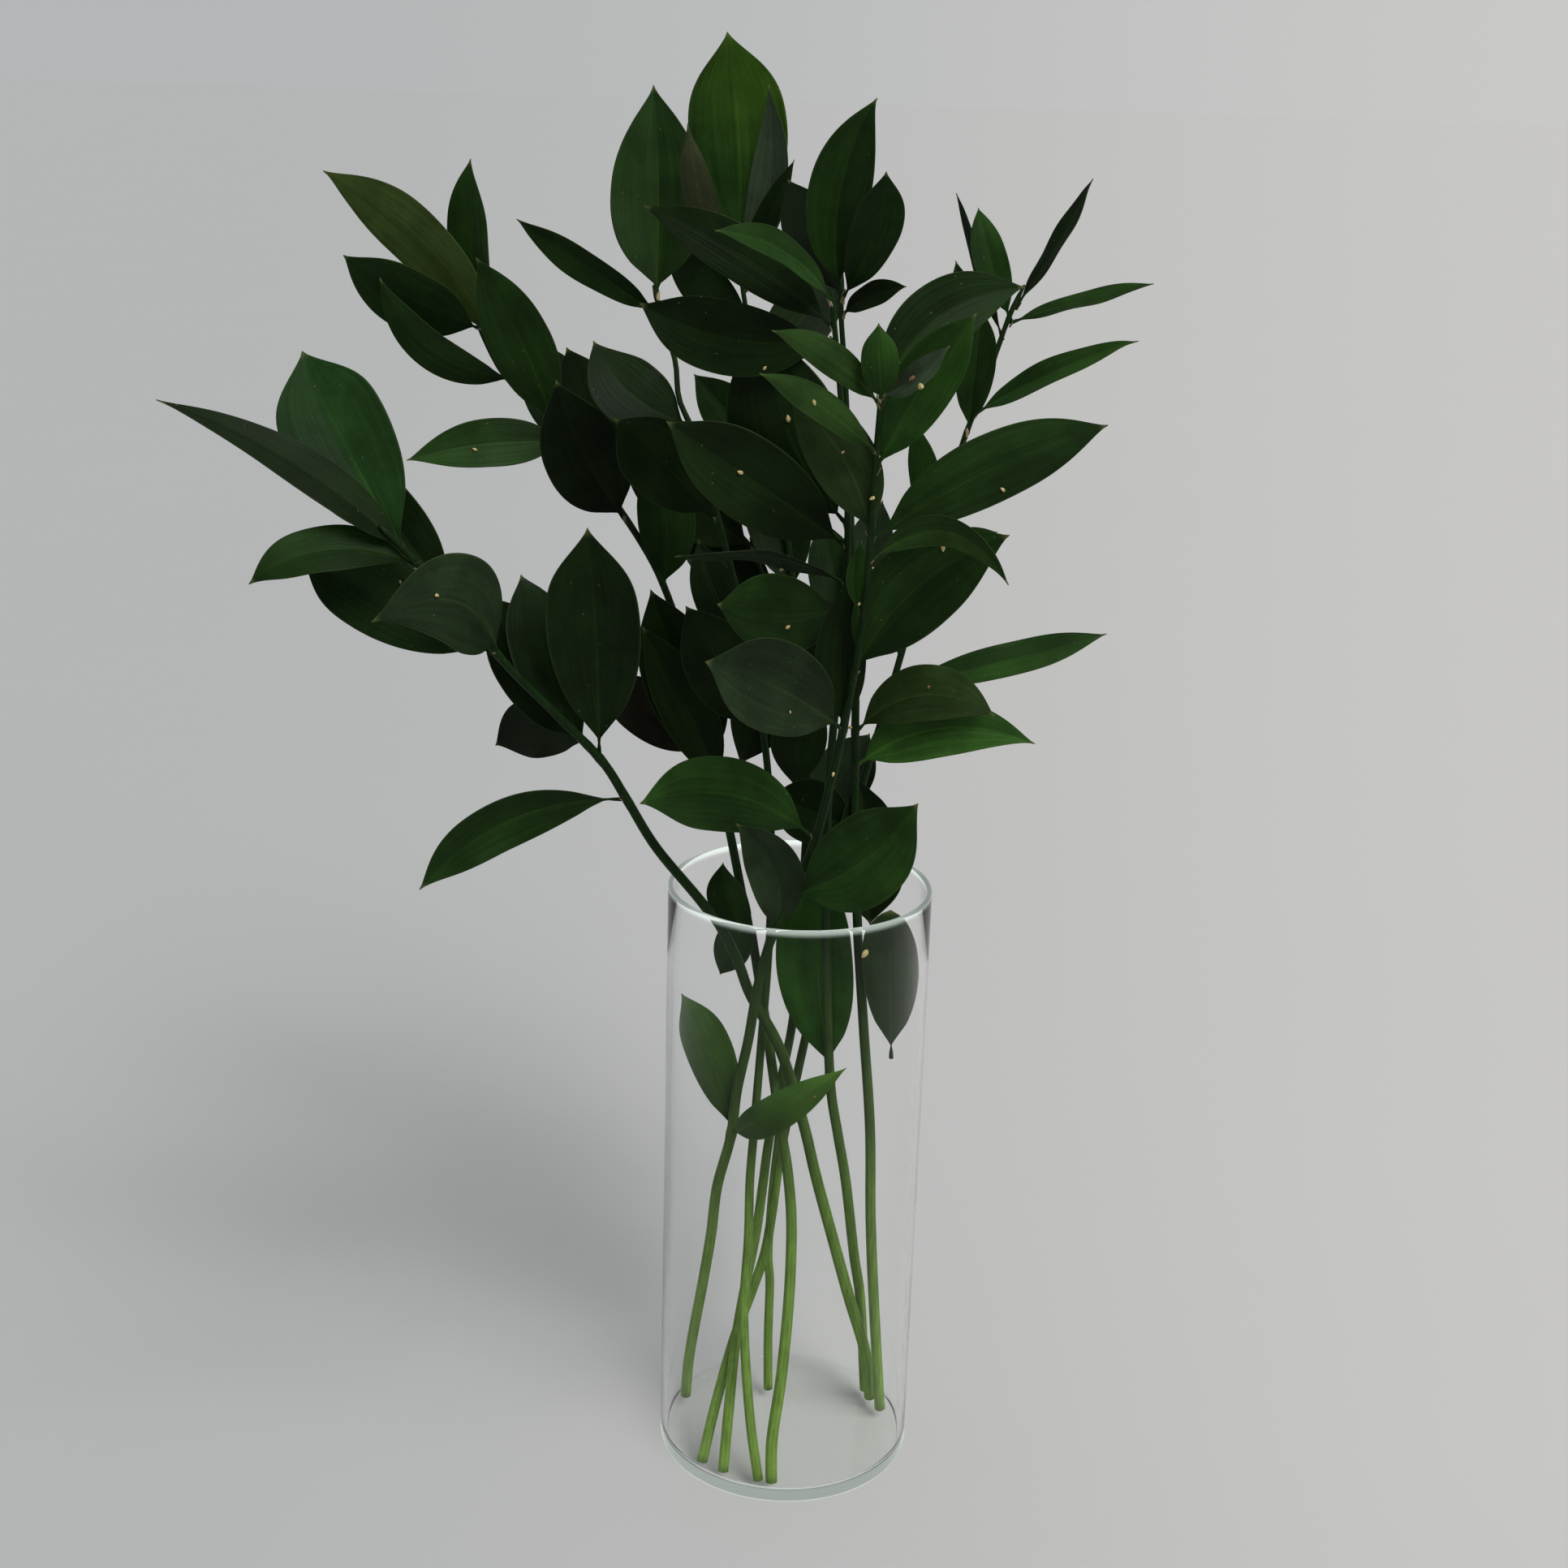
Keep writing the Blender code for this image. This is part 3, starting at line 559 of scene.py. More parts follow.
# Shares of the leaf: where the petiole ends, where the midrib fades, where the tip turns.
PETIOLE_END = (0.02, 0.12)
RIB_END = (0.55, 0.95)
TIP_TURN = (0.86, 1.0)

# The least waves along a margin, the rounding and sink of the fold at the midrib, the
# spread of brightness between leaves, and about a full turn in radians.
LEAST_WAVES = 1.2
FOLD_ROUND, FOLD_SINK = 0.012, 0.11
DRIFT = 0.22
ONE_TURN = 6.28

# Fine stems: rings, sides and ridges; how much a joint swells, within how many
# millimetres, and within how many it is marked; how far the top end is drawn in.
STEM_RINGS = 120
STEM_SIDES = 16
RIDGES, RIDGE_HEIGHT = 8, 0.025
JOINT_SWELL, JOINT_HALF, JOINT_MARK = 0.16, 3.0, 5.0
STEM_END = 0.55
STEM_TONE = (0.03, 0.05, 0.02)
CUT_TONE = (1, 1, 1)

# The dry scale at a leaf's root: its length, and how far off it the stem's way is read.
SCALE_SIZE = 3.4
SCALE_REACH = 3

# Materials of a leafy piece, in their order.
UPPER, UNDER, BARK, CUT, SCALE = range(5)

# Seeds of random draws.
STEM_SEED = 40
LEAF_SEEDS = 1000
LOOSE_SEED = 7
BUD_SEED = 500

# Linear colours of the leaves' upper faces by kind: dark d and k, middle n, e, m and f, dull g, a,
# o and q, light l, y, w, h, b and s. They are partly the leaves' own tones and partly painted light
# and shade, a leaf's kind being set lighter or darker by how lit it is where it stands.
TONES = {
    "d": (0.006, 0.015, 0.003), "k": (0.0048, 0.0105, 0.0034),
    "m": (0.013, 0.040, 0.0065), "n": (0.009, 0.026, 0.0045),
    "l": (0.025, 0.060, 0.012), "h": (0.030, 0.085, 0.015),
    "a": (0.019, 0.037, 0.0095), "g": (0.0135, 0.025, 0.010),
    "s": (0.045, 0.070, 0.038), "y": (0.021, 0.062, 0.012),
    "e": (0.015, 0.046, 0.011), "b": (0.048, 0.082, 0.017),
    "f": (0.019, 0.046, 0.0095), "w": (0.020, 0.075, 0.008),
    "o": (0.040, 0.050, 0.022), "q": (0.013, 0.013, 0.008),
}
LOOSE_TONE = (0.018, 0.036, 0.012)
# The colour that some kinds turn to away from the root: painted light, lighter towards the tip, for
# y, m and l, and painted shade, darker towards the tip, for w.
GLOW = {"y": (0.045, 0.108, 0.011), "w": (0.010, 0.030, 0.006), "m": (0.016, 0.048, 0.007),
        "l": (0.036, 0.085, 0.012)}
# Each leaf's kind, in the order of LEAVES.
LEAF_TONES = {
    "stem_front": "llgmmgnmfnamffnmsd", "stem_left": "nkdddgnnded",
    "stem_top_right": "handddnnkd", "stem_middle": "wnsgdddmd",
    "stem_right": "mnmnmndmmddd", "stem_upper_left": "nnddqnkdmdnnbmn",
    "stem_middle_left": "ddnndd", "stem_top": "ddndnsyoddddd", "stem_back": "ddddd",
}

# Small flowers and buds: the drop and its sepals (tilt, length, fatness), rings, sides and
# colours, then where each is seen (x, z), its length, and whether brown. One that
# is seen beside the leaves is left out.
BUD_PARTS = ((0.0, 1.0, 0.30), (0.9, 0.62, 0.20), (-0.9, 0.55, 0.18))
BUD_RINGS = 8
BUD_SIDES = 10
CREAM_BUD = (0.52, 0.44, 0.22)
BROWN_BUD = (0.17, 0.10, 0.05)
BUDS = (
    (-26, 395.5, 2.4, 0), (-9.5, 415, 2.8, 0), (-18.5, 432.5, 1.8, 0), (-1, 421.5, 2.0, 0),
    (10, 404, 1.4, 0), (47.5, 371, 2.6, 0), (68, 392, 2.0, 0), (-8, 339, 2.2, 0),
    (-10.5, 361, 2.2, 0), (-6, 307, 1.4, 0), (17, 302, 2.0, 0), (37, 428, 3.4, 0),
    (34, 431, 2.6, 1), (26, 212, 3.6, 0), (-136, 347, 2.2, 0), (-149, 352, 1.4, 0),
    (-121, 400.5, 2.0, 0), (20.5, 455.5, 2.6, 1), (21.5, 388, 2.0, 0), (22.5, 362, 1.8, 0),
    (18, 349, 1.8, 0), (11, 284, 1.8, 0), (45, 318.5, 1.6, 1), (8.5, 151.5, 1.2, 1),
)


def ease(low, high, value):
    """0 below low, 1 above high and smooth between them."""
    t = max(0.0, min(1.0, (value - low) / (high - low)))
    return t * t * (3 - 2 * t)


def share_at(t):
    """Share of the half width at place t, on a smooth curve through FINE_OUTLINE."""
    rows = FINE_OUTLINE
    for k in range(len(rows) - 1):
        if t <= rows[k + 1][0] + 1e-9:
            break

    def slope(i):
        if i == 0:
            return 0.0
        n = min(i + 1, len(rows) - 1)
        return (rows[n][1] - rows[i - 1][1]) / (rows[n][0] - rows[i - 1][0])

    (t0, a), (t1, b) = rows[k], rows[k + 1]
    step = t1 - t0
    s = (t - t0) / step
    return max(0.0, (2 * s ** 3 - 3 * s ** 2 + 1) * a
               + (s ** 3 - 2 * s ** 2 + s) * step * slope(k)
               + (3 * s ** 2 - 2 * s ** 3) * b
               + (s ** 3 - s ** 2) * step * slope(k + 1))


def unskew(t, belly):
    """The place on the plain outline that the skew brings to t."""
    k = skew(belly)
    return ((1 + k) - sqrt((1 + k) ** 2 - 4 * k * t)) / (2 * k) if abs(k) > 0.001 else t


class Sheet:
    """Vertices, faces, materials and vertex values of one piece while it is built."""

    def __init__(self):
        self.verts, self.faces, self.slots = [], [], []
        self.grain, self.tone = [], []

    def grid(self, rows, slot, wrap=False):
        """Faces between rows of vertex numbers."""
        for low, high in zip(rows, rows[1:]):
            count = len(low)
            for k in range(count if wrap else count - 1):
                n = (k + 1) % count
                self.faces.append((low[k], low[n], high[n], high[k]))
                self.slots.append(slot)

    def shell(self, upper, under, over_slot, under_slot):
        """Both faces of a thin skin and its two sides."""
        self.grid(upper, over_slot)
        self.grid([row[::-1] for row in under], under_slot)
        self.grid([[b[0], a[0]] for a, b in zip(upper, under)], over_slot)
        self.grid([[a[-1], b[-1]] for a, b in zip(upper, under)], over_slot)

    def add(self, point, grain, tone):
        self.verts.append(point)
        self.grain.append(grain)
        self.tone.append(tone)
        return len(self.verts) - 1

    def make(self, name, materials, node=None):
        mesh = bpy.data.meshes.new(name)
        mesh.from_pydata([tuple(v * MM) for v in self.verts], [], self.faces)
        for material in materials:
            mesh.materials.append(material)
        mesh.polygons.foreach_set("material_index", self.slots)
        grain = mesh.attributes.new("grain", "FLOAT_VECTOR", "POINT")
        grain.data.foreach_set("vector", [c for row in self.grain for c in row])
        tone = mesh.color_attributes.new("tone", "FLOAT_COLOR", "POINT")
        tone.data.foreach_set("color", [c for row in self.tone for c in (*row, 1.0)])
        mesh.shade_smooth()
        mesh.update()
        obj = added(name, mesh)
        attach(obj, "root")
        if node:
            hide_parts(node)
        return obj


def drawn(share, t, belly):
    """The share of pointed, without its corner."""
    limit = point_limit(t)
    if belly > BLUNT_BELLY or share < 1e-6 or limit < 1e-6:
        return pointed(share, t, belly)
    return share * limit / (share ** 5 + limit ** 5) ** 0.2


def fine_leaf(sheet, spec, seed, tone, glow):
    """One leaf with its petiole, on the same midrib and turn as the part's own blade."""
    root, tip, width, turn, bow, arch, *rest = spec
    twist, belly, groove = (rest + [0.0, BELLY, GROOVE][len(rest):])
    midrib, blade_at = leaf_line(root, tip, turn, bow, arch, twist)
    draw = Random(seed)
    drift = 1 + DRIFT * (draw.random() - 0.5)
    phases = (draw.random() * ONE_TURN, draw.random() * ONE_TURN)
    waves = (LEAST_WAVES + draw.random(), LEAST_WAVES + draw.random())
    swell = SWELL + SWELL * draw.random()
    hook = draw.uniform(*HOOK)
    mark = draw.random()
    upper, under = [], []
    for i in range(RINGS + 1):
        t = i / RINGS
        blade, normal = blade_at(t)
        petiole = 1 - ease(*PETIOLE_END, t)
        share = drawn(share_at(unskew(t, belly)), t, belly)
        half = max(width / 2 * share, FINE_PETIOLE_HALF * petiole, EDGE_HALF)
        middle = midrib(0.996 * t) + normal * (hook * ease(*TIP_TURN, t) ** 2)
        over, below = [], []
        for u in COLUMNS:
            angle = phases[u > 0] + ONE_TURN * waves[u > 0] * t
            wave = swell * sin(angle) * u * u * sin(pi * t)
            rise = half * groove * (sqrt(u * u + FOLD_ROUND) - FOLD_SINK) * (1 - petiole)
            round_share = sqrt(max(0.0, 1 - u * u))
            thick = EDGE_THICK + MIDDLE_THICK * (1 - u * u) + PETIOLE_THICK * petiole * round_share
            rib = RIB_HEIGHT * max(0.0, 1 - abs(u) * half / RIB_HALF) * (1 - ease(*RIB_END, t))
            spot = middle + blade * (half * u) + normal * (rise + wave)
            grain = (u, t, mark)
            # Painted light and shade: the tone turns to the kind's glow colour towards the tip and
            # one edge.
            part = ease(0.15, 1.0, t + 0.25 * u)
            here = tuple(drift * (a + (b - a) * part) for a, b in zip(tone, glow))
            over.append(sheet.add(spot + normal * (thick - rib), grain, here))
            below.append(sheet.add(spot - normal * (thick + rib), grain, here))
        upper.append(over)
        under.append(below)
    sheet.shell(upper, under, UPPER, UNDER)
    sheet.grid([under[0], upper[0]], UPPER)
    sheet.grid([upper[-1], under[-1]], UPPER)


def frames_along(points):
    """The way ahead and two ways across at each point of a line, carried on untwisted."""
    normal = Vector((0.3, -1.0, 0.0)).normalized()
    rows = []
    for k in range(len(points)):
        ahead = (points[min(k + 1, len(points) - 1)] - points[max(k - 1, 0)]).normalized()
        normal = (normal - ahead * normal.dot(ahead)).normalized()
        rows.append((ahead, normal, ahead.cross(normal)))
    return rows


def fine_stem(sheet, name, seed):
    """The round stem with its joints, and a cut face below."""
    base, top, rows = STEMS[name]
    route = smooth_route(rows, STEM_RINGS)
    points = [place(*row) for row in route]
    ways = frames_along(points)
    joints = sorted({row[0] for row in LEAVES[name]})
    mark = Random(seed).random()
    rings = []
    for k, (point, (_, first, second)) in enumerate(zip(points, ways)):
        radius = base + (top - base) * (k / (STEM_RINGS - 1)) ** TAPER
        near = min(abs(route[k].y - z) for z in joints)
        radius *= 1 + JOINT_SWELL * max(0.0, 1 - near / JOINT_HALF) ** 2
        if k == STEM_RINGS - 1:
            radius *= STEM_END
        ring = []
        for n in range(STEM_SIDES):
            angle = 2 * pi * n / STEM_SIDES
            ridge = 1 + RIDGE_HEIGHT * cos(RIDGES * angle)
            way = first * cos(angle) + second * sin(angle)
            grain = (n / STEM_SIDES, max(0.0, 1 - near / JOINT_MARK), mark)
            ring.append(sheet.add(point + way * (radius * ridge), grain, STEM_TONE))
        rings.append(ring)
    sheet.grid(rings, BARK, True)
    ahead, first, second = ways[0]
    inner = []
    for n in range(STEM_SIDES):
        angle = 2 * pi * n / STEM_SIDES
        way = first * cos(angle) + second * sin(angle)
        inner.append(sheet.add(points[0] + way * base * 0.6 + ahead * 0.15, (0, 0, mark), CUT_TONE))
    sheet.grid([inner, rings[0]], CUT, True)
    heart = sheet.add(points[0] + ahead * 0.3, (0, 1, mark), CUT_TONE)
    tip = sheet.add(points[-1] + ways[-1][0] * top * 0.5, (0, 0, mark), STEM_TONE)
    for n in range(STEM_SIDES):
        m = (n + 1) % STEM_SIDES
        sheet.faces += [(heart, inner[m], inner[n]), (tip, rings[-1][n], rings[-1][m])]
        sheet.slots += [CUT, BARK]


def scale_leaf(sheet, root, way, stem_way, seed):
    """The small dry scale below a leaf's petiole, clasping the stem."""
    draw = Random(seed)
    way = (way - stem_way * way.dot(stem_way)).normalized()
    across = stem_way.cross(way)
    grid, back = [], []
    tone = (0.10, 0.085, 0.04) if draw.random() < 0.6 else (0.30, 0.25, 0.15)
    for i in range(6):
        t = i / 5
        half = SCALE_SIZE * 0.34 * (1 - t) ** 0.7 * (0.75 + t) + 0.05
        row, rear = [], []
        for n in range(5):
            u = (n - 2) / 2
            lift = 0.9 + 0.35 * t + 0.9 * t * t - 0.45 * u * u
            spot = (root + stem_way * (SCALE_SIZE * t - SCALE_SIZE * 0.45) + across * (u * half)
                    + way * lift)
            row.append(sheet.add(spot + way * 0.09, (u, t, 0.5), tone))
            rear.append(sheet.add(spot - way * 0.09, (u, t, 0.5), tone))
        grid.append(row[::-1])
        back.append(rear[::-1])
    sheet.shell(grid, back, SCALE, SCALE)


def bud(sheet, spot, out, length, brown, seed):
    """A small opened bud: a ribbed drop with two pointed sepals at its foot."""
    spin = Random(seed).random() * ONE_TURN
    side = out.orthogonal().normalized()
    lie = side * cos(spin) + out.cross(side) * sin(spin)
    axis = (lie + out * 0.35).normalized()
    a = axis.orthogonal().normalized()
    b = axis.cross(a)
    tone = BROWN_BUD if brown else CREAM_BUD
    for tilt, share, fat in BUD_PARTS:
        heading = (axis + lie.cross(out) * tilt * 0.6).normalized()
        rings = []
        for i in range(BUD_RINGS):
            t = i / (BUD_RINGS - 1)
            radius = length * fat * sin(pi * (0.08 + 0.90 * t ** 0.85)) ** 0.8
            middle = spot + out * 0.35 + heading * (length * share * (t - 0.35))
            ring = []
            for n in range(BUD_SIDES):
                angle = 2 * pi * n / BUD_SIDES
                rib = 1 + 0.10 * cos(3 * angle + tilt)
                point = middle + (a * cos(angle) + b * sin(angle)) * radius * rib
                ring.append(sheet.add(point, (n / BUD_SIDES, t, share), tone))
            rings.append(ring)
        sheet.grid(rings, 0, True)
        sheet.faces += [tuple(rings[0][::-1]), tuple(rings[-1])]
        sheet.slots += [0, 0]


class Graph:
    """Short calls for the nodes of a new material or world."""

    def __init__(self, name, kind=bpy.data.materials):
        self.owner = kind.new(name)
        self.owner.use_nodes = True
        self.tree = self.owner.node_tree
        self.shader = self.tree.nodes.get("Principled BSDF")

    def node(self, kind, inputs=None, **settings):
        node = self.tree.nodes.new(kind)
        for key, value in settings.items():
            setattr(node, key, value)
        for key, value in (inputs or {}).items():
            self.set(node.inputs[key], value)
        return node

    def set(self, socket, value):
        if isinstance(value, bpy.types.NodeSocket):
            self.tree.links.new(value, socket)
        else:
            socket.default_value = value

    def math(self, operation, *values):
        node = self.tree.nodes.new("ShaderNodeMath")
        node.operation = operation
        for socket, value in zip(node.inputs, values):
            self.set(socket, value)
        return node.outputs[0]

    def times(self, a, b):
        return self.math("MULTIPLY", a, b)

    def plus_times(self, value, factor, plus):
        return self.math("MULTIPLY_ADD", value, factor, plus)

    def join(self, x, y, z):
        return self.node("ShaderNodeCombineXYZ", {"X": x, "Y": y, "Z": z}).outputs[0]

    def values(self, name):
        """Outputs for the vertex values of this name."""
        return self.node("ShaderNodeAttribute", attribute_name=name).outputs

    def where(self, kind="Object"):
        return self.node("ShaderNodeTexCoord").outputs[kind]

    def fix(self, name, value):
        self.shader.inputs[name].default_value = value

    def axes(self, vector):
        return self.node("ShaderNodeSeparateXYZ", {"Vector": vector}).outputs

    def span(self, value, low, high, to_low=0.0, to_high=1.0):
        inputs = {"Value": value, "From Min": low, "From Max": high, "To Min": to_low,
                  "To Max": to_high}
        node = self.node("ShaderNodeMapRange", inputs, interpolation_type="SMOOTHSTEP")
        return node.outputs["Result"]

    def mix(self, factor, a, b, blend="MIX"):
        node = self.node("ShaderNodeMix", data_type="RGBA", blend_type=blend)
        self.set(node.inputs[0], factor)
        for socket, value in ((node.inputs[6], a), (node.inputs[7], b)):
            self.set(socket, (*value, 1.0) if isinstance(value, tuple) else value)
        return node.outputs[2]

    def noise(self, vector, scale, detail=3.0, rough=0.55):
        inputs = {"Vector": vector, "Scale": scale, "Detail": detail, "Roughness": rough}
        return self.node("ShaderNodeTexNoise", inputs).outputs["Fac"]

    def bump(self, height, strength, distance):
        node = self.node("ShaderNodeBump",
                         {"Height": height, "Strength": strength, "Distance": distance})
        self.set(self.shader.inputs["Normal"], node.outputs["Normal"])

    def finish(self, colour, roughness):
        self.set(self.shader.inputs["Base Color"], colour)
        self.set(self.shader.inputs["Roughness"], roughness)
        return self.owner


def leaf_material(name, under):
    g = Graph(name)
    u, v, mark = g.axes(g.values("grain")["Vector"])
    tone = g.values("tone")["Color"]
    where = g.where()
    off = g.math("ABSOLUTE", u)

    stretch = g.join(g.times(u, 7.0), g.times(v, 1.3), g.times(mark, 60.0))
    streak = g.noise(stretch, 1.0, 3.0, 0.6)
    cloud = g.noise(where, 55.0, 4.0, 0.6)
    fine = g.noise(where, 900.0, 2.0, 0.6)
    wobble = g.plus_times(streak, 0.9, g.times(u, 38.0))
    main = g.span(g.math("SINE", wobble), 0.72, 1.0)
    hair = g.span(g.math("SINE", g.times(u, 131.0)), 0.55, 1.0)
    fade = g.times(g.span(off, 1.0, 0.8), g.span(v, 1.0, 0.85))
    vein = g.times(g.plus_times(hair, 0.4, main), fade)
    rib = g.times(g.span(off, 0.045, 0.010), g.span(v, 0.85, 0.3, 0.1, 1.0))
    foot = g.times(g.span(off, 0.26, 0.03), g.span(v, 0.42, 0.06))
    rim = g.span(off, 0.955, 0.99)
    point = g.span(v, 0.955, 0.998)

    shade = g.times(g.span(cloud, 0.3, 0.7, 0.74, 1.24), g.span(streak, 0.25, 0.75, 0.82, 1.18))
    # Painted light and shade: one half of each leaf is made lighter and the other darker, as light
    # falls on a folded leaf, and the leaf is darker towards the root.
    lit_side = g.times(u, g.math("SINE", g.times(mark, 40.0)))
    shade = g.times(shade, g.span(lit_side, -0.10, 0.10, 0.84, 1.18))
    shade = g.times(shade, g.span(v, 0.0, 0.5, 0.88, 1.04))
    if under:
        tone = g.mix(0.5, tone, (0.026, 0.040, 0.020))
    colour = g.mix(1.0, tone, g.join(shade, shade, shade), "MULTIPLY")
    lighter = g.mix(1.0, colour, (1.75, 1.65, 1.55), "MULTIPLY")
    colour = g.mix(g.times(vein, 0.18 if under else 0.13), colour, lighter)
    pale = g.mix(1.0, colour, (2.5, 2.3, 1.7), "MULTIPLY")
    colour = g.mix(g.times(rib, 0.34), colour, pale)
    colour = g.mix(g.times(foot, 0.40), colour, pale)
    # Painted highlight: the colour turns lighter green along the margin.
    colour = g.mix(g.times(rim, 0.35), colour, (0.050, 0.075, 0.025))
    colour = g.mix(g.times(point, 0.6), colour, (0.120, 0.140, 0.050))

    cells = g.node("ShaderNodeTexVoronoi", {"Vector": where, "Scale": 520.0})
    pick = g.node("ShaderNodeSeparateColor", {"Color": cells.outputs["Color"]}).outputs[0]
    rare = g.times(g.span(pick, 0.90, 0.93), g.span(mark, 0.35, 0.55))
    dot = g.times(g.span(cells.outputs["Distance"], 0.16, 0.07), rare)
    dust = g.times(dot, 0.12 if under else 0.5)
    colour = g.mix(dust, colour, (0.20, 0.22, 0.16))

    rough = g.plus_times(cloud, 0.16, 0.46 if under else 0.34)
    rough = g.plus_times(dust, 0.5, rough)
    height = g.plus_times(fine, 0.06, g.times(streak, 0.8))
    g.bump(g.plus_times(vein, 0.6 if under else -0.5, height), 0.5, 0.00016)
    g.fix("Specular IOR Level", 0.06)
    return g.finish(colour, rough)


def stem_material():
    g = Graph("stem_bark")
    turn, joint, _ = g.axes(g.values("grain")["Vector"])
    where = g.where()
    # Painted light and shade: the bark is light green low in the glass and turns very dark green
    # higher up among the leaves.
    level = g.axes(where)["Z"]
    level = g.plus_times(g.noise(where, 14.0), 0.05, g.math("ADD", level, -0.025))
    ramp = g.node("ShaderNodeValToRGB", {"Fac": g.math("DIVIDE", level, 0.5)})
    stops = ((0.0, (0.165, 0.290, 0.050)), (0.16, (0.120, 0.215, 0.040)),
             (0.30, (0.045, 0.085, 0.020)), (0.44, (0.011, 0.030, 0.006)),
             (0.60, (0.006, 0.020, 0.004)), (1.0, (0.009, 0.027, 0.005)))
    while len(ramp.color_ramp.elements) < len(stops):
        ramp.color_ramp.elements.new(0.5)
    for stop, (spot, tint) in zip(ramp.color_ramp.elements, stops):
        stop.position = spot
        stop.color = (*tint, 1.0)
    lines = g.math("SINE", g.times(turn, 2 * pi * RIDGES))
    long_way = g.node("ShaderNodeMapping", {"Vector": where, "Scale": (420.0, 420.0, 60.0)})
    fibre = g.noise(long_way.outputs[0], 1.0, 4.0, 0.65)
    shade = g.plus_times(lines, 0.10, g.span(fibre, 0.2, 0.8, 0.66, 1.30))
    colour = g.mix(1.0, ramp.outputs["Color"], g.join(shade, shade, shade), "MULTIPLY")
    specks = g.noise(where, 700.0, 2.0, 0.5)
    brown = g.times(g.span(specks, 0.60, 0.70), g.plus_times(joint, 0.6, 0.12))
    colour = g.mix(brown, colour, (0.060, 0.040, 0.022))
    g.bump(g.plus_times(lines, 0.5, fibre), 0.45, 0.00018)
    g.fix("Specular IOR Level", 0.08)
    return g.finish(colour, g.plus_times(fibre, 0.25, 0.34))


def plain_material(name, low, high, rough, scale):
    """Toned by the vertex values and broken up by noise."""
    g = Graph(name)
    tone = g.values("tone")["Color"]
    where = g.where()
    grit = g.noise(where, scale, 4.0, 0.65)
    tint = g.mix(g.span(grit, 0.3, 0.7), low, high)
    g.bump(grit, 0.5, 0.00015)
    return g.finish(g.mix(1.0, tone, tint, "MULTIPLY"), g.plus_times(grit, 0.2, rough))


def glass_material():
    g = Graph("vase_clear_glass")
    where = g.where()
    level = g.axes(where)["Z"]
    lip = g.span(level, *LIP_LEVELS)
    foot = g.span(level, *FOOT_LEVELS)
    square = g.node("ShaderNodeVectorMath", {0: where, 1: where}, operation="DOT_PRODUCT")
    flat = g.math("SUBTRACT", square.outputs["Value"], g.math("POWER", level, 2.0))
    # The ring at the foot, outside only, that carries a painted highlight.
    ring = g.times(g.span(level, *RING_LEVELS), g.span(g.math("SQRT", flat), *RING_RADII))
    outside = g.math("SUBTRACT", 1.0, g.node("ShaderNodeNewGeometry").outputs["Backfacing"])
    ring = g.times(ring, outside)
    colour = g.mix(lip, (0.990, 0.995, 0.992), (0.93, 0.975, 0.95))
    # Painted shadow: the foot is tinted darker, standing in for the shadow under the glass, which
    # casts none.
    colour = g.mix(foot, colour, (0.89, 0.91, 0.87))
    g.fix("Transmission Weight", 1.0)
    g.fix("IOR", 1.26)
    g.fix("Specular Tint", (0.35, 0.35, 0.35, 1.0))
    # Painted glow: the lip and the ring at the foot glow pale green, painted highlights on the
    # glass.
    g.fix("Emission Color", (0.80, 0.90, 0.84, 1.0))
    painted_glow = g.math("MAXIMUM", g.times(lip, 0.27), g.times(ring, 0.42))
    g.set(g.shader.inputs["Emission Strength"], painted_glow)
    g.bump(g.noise(where, 16.0, 1.0, 0.4), 0.06, 0.002)
    return g.finish(colour, 0.0)


def fine_vase():
    """The turned glass with round lip, foot and inner corner."""
    arc = [90 * k / FINE_STEPS for k in range(FINE_STEPS + 1)]
    levels = [VASE_HEIGHT * k / FINE_STEPS for k in range(1, FINE_STEPS)]
    section = vase_profile(arc, arc, levels, BASE_RADII)
    obj, solid = turned("vase_glass", section, FINE_SIDES, 0.00002)
    obj.modifiers.clear()
    obj.data = solid
    solid.materials.append(glass_material())
    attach(obj, "root")
    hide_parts("vase")
    obj.visible_shadow = False
    obj.visible_diffuse = False


def leaf_specs():
    """Every leaf's final shape, found as in the part's source, and the coarse routes."""
    bench = bpy.data.collections.new("bench")
    bpy.context.scene.collection.children.link(bench)
    section = vase_profile(LIP_ANGLES, CORNER_ANGLES)
    glass = tree_of_mesh(turned("vase", section, VASE_SIDES, 0.00005, bench)[1])
    routes, stems, blades = {}, {}, []
    for name in STEMS:
        mesh, routes[name] = make_stem(name, bench)
        stems[name] = tree_of_mesh(mesh)
    for obj in list(bench.objects):
        bpy.data.objects.remove(obj)
    bpy.data.collections.remove(bench)

    def settled(owner, root, tip_row, lean, shape, first):
        spec = bend_clear(root, tip_row, lean, shape, owner, stems, blades, glass)
        blades.append((owner, tree_of(*leaf_mesh(*spec)), tree_of(*leaf_mesh(*spec, first=first))))
        return spec

    lower, upper, lean, *shape = LOOSE_LEAF
    found = {"loose_leaf": [settled("loose_leaf", place(*lower), upper, lean, shape, 0)]}
    for name, rows in LEAVES.items():
        found[name] = []
        for height, x, z, lean, *shape in rows:
            root = place(*at_height(routes[name], height))
            found[name].append(settled(name, root, (x, z), lean, shape, FIRST_BLADE_RING))
    return found, routes


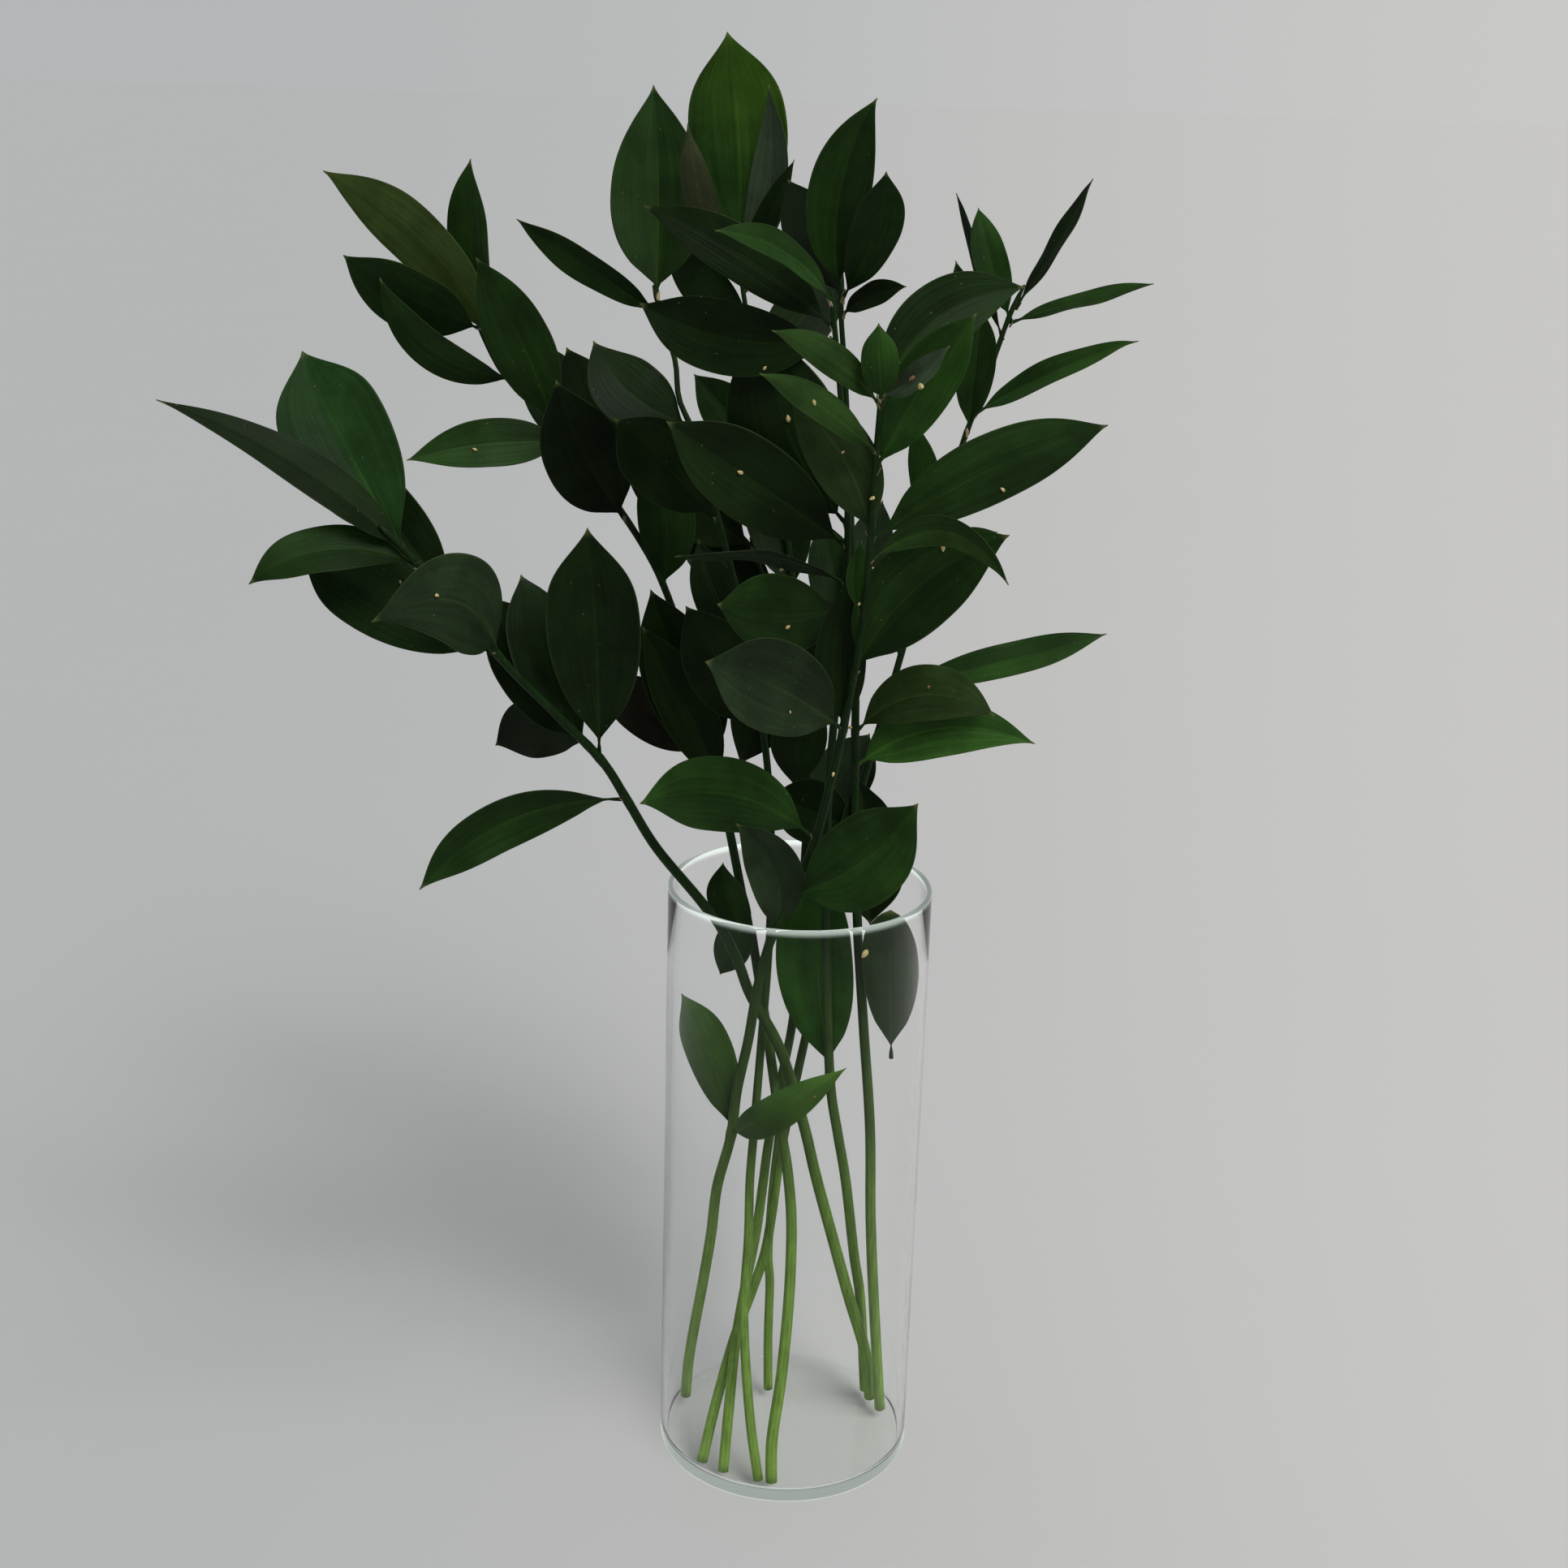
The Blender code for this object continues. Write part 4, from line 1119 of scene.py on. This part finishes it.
def build_object():
    skins = [leaf_material("leaf_upper", False), leaf_material("leaf_under", True),
             stem_material(),
             plain_material("cut_face", (0.30, 0.34, 0.16), (0.62, 0.60, 0.36), 0.6, 900.0),
             plain_material("dry_scale", (0.7, 0.7, 0.7), (1.4, 1.3, 1.2), 0.6, 700.0)]
    specs, routes = leaf_specs()
    verts, faces = [], []

    def made(sheet, name, node):
        """The sheet's piece, whose faces are kept for the buds to lie on."""
        start = len(verts)
        faces.extend(tuple(i + start for i in face) for face in sheet.faces)
        verts.extend(sheet.verts)
        return sheet.make(name, skins, node)

    for order, name in enumerate(STEMS):
        sheet = Sheet()
        fine_stem(sheet, name, STEM_SEED + order)
        for number, (spec, kind) in enumerate(zip(specs[name], LEAF_TONES[name])):
            seed = LEAF_SEEDS * order + number
            fine_leaf(sheet, spec, seed, TONES[kind], GLOW.get(kind, TONES[kind]))
            height = LEAVES[name][number][0]
            low = place(*at_height(routes[name], height - SCALE_REACH))
            high = place(*at_height(routes[name], height + SCALE_REACH))
            scale_leaf(sheet, spec[0], spec[1] - spec[0], (high - low).normalized(), seed)
        piece = made(sheet, name + "_growth", name)
    sheet = Sheet()
    fine_leaf(sheet, specs["loose_leaf"][0], LOOSE_SEED, LOOSE_TONE, LOOSE_TONE)
    piece = made(sheet, "loose_leaf_blade", "loose_leaf")

    tree = tree_of(verts, faces)
    sheet = Sheet()
    for number, (x, z, length, brown) in enumerate(BUDS):
        ray = (place(x, z, 0) - EYE).normalized()
        spot, normal, _, _ = tree.ray_cast(EYE, ray)
        if spot is None:
            continue
        out = normal if normal.dot(ray) < 0 else -normal
        bud(sheet, spot, out, length, brown, BUD_SEED + number)
    petals = plain_material("bud_petals", (0.65, 0.60, 0.50), (1.35, 1.3, 1.2), 0.5, 1400.0)
    piece = sheet.make("flower_buds", [petals])
    fine_vase()


def camera():
    ahead = Vector((sin(YAW) * cos(PITCH), cos(YAW) * cos(PITCH), -sin(PITCH)))
    level = Vector((cos(YAW), -sin(YAW), 0.0))
    raised = level.cross(ahead)
    right = level * cos(ROLL) + raised * sin(ROLL)
    up = raised * cos(ROLL) - level * sin(ROLL)
    data = bpy.data.cameras.new("camera")
    data.lens = FOCAL_PIXELS / PICTURE_SIDE * SENSOR
    data.sensor_width = SENSOR
    data.clip_start = 0.05
    data.clip_end = 50
    cam = added("camera", data)
    turn = Matrix((right, up, -ahead)).transposed()
    cam.matrix_world = Matrix.Translation(EYE * MM) @ turn.to_4x4()
    bpy.context.scene.camera = cam


def sun(name, way, angle, power, colour):
    data = bpy.data.lights.new(name, "SUN")
    data.angle = radians(angle)
    data.energy = power
    data.color = colour
    obj = added(name, data)
    obj.location = Vector(way)
    obj.rotation_euler = (-Vector(way)).to_track_quat("-Z", "Y").to_euler()


def stage():
    g = Graph("pale_floor")
    where = g.where()
    cloud = g.noise(where, 3.0, 3.0, 0.5)
    x, y, _ = g.axes(where)
    across = g.math("DIVIDE", x, g.math("ADD", g.math("ABSOLUTE", y), FLOOR_DEPTH))
    # Painted shade: the floor is darker towards the left.
    side = g.plus_times(cloud, 0.06, g.span(across, *SPREAD))
    colour = g.mix(side, *FLOOR_COLOURS)
    g.bump(g.noise(where, 700.0, 2.0, 0.5), 0.05, 0.0004)
    g.fix("Specular IOR Level", 0.2)
    g.finish(colour, 0.85)
    mesh = bpy.data.meshes.new("floor")
    corners = ((-1, -1), (1, -1), (1, 1), (-1, 1))
    mesh.from_pydata([(x * FLOOR_HALF, y * FLOOR_HALF, -FLOOR_DROP) for x, y in corners],
                     [], [(0, 1, 2, 3)])
    mesh.materials.append(g.owner)
    floor = added("floor", mesh)

    g = Graph("room", bpy.data.worlds)
    x, y, z = g.axes(g.where("Generated"))
    above = g.mix(g.span(y, 0.30, -0.60), (0.43, 0.435, 0.445), (0.19, 0.195, 0.20))
    edge = g.mix(g.span(x, *SPREAD), *EDGE_COLOURS)
    sky = g.mix(g.span(z, 0.04, 0.40), edge, above)
    g.set(g.tree.nodes["Background"].inputs["Color"], sky)
    bpy.context.scene.world = g.owner
    for name, values in SUNS.items():
        sun(name, *values)
    bpy.context.scene.view_settings.view_transform = "Standard"


build_object()
camera()
stage()
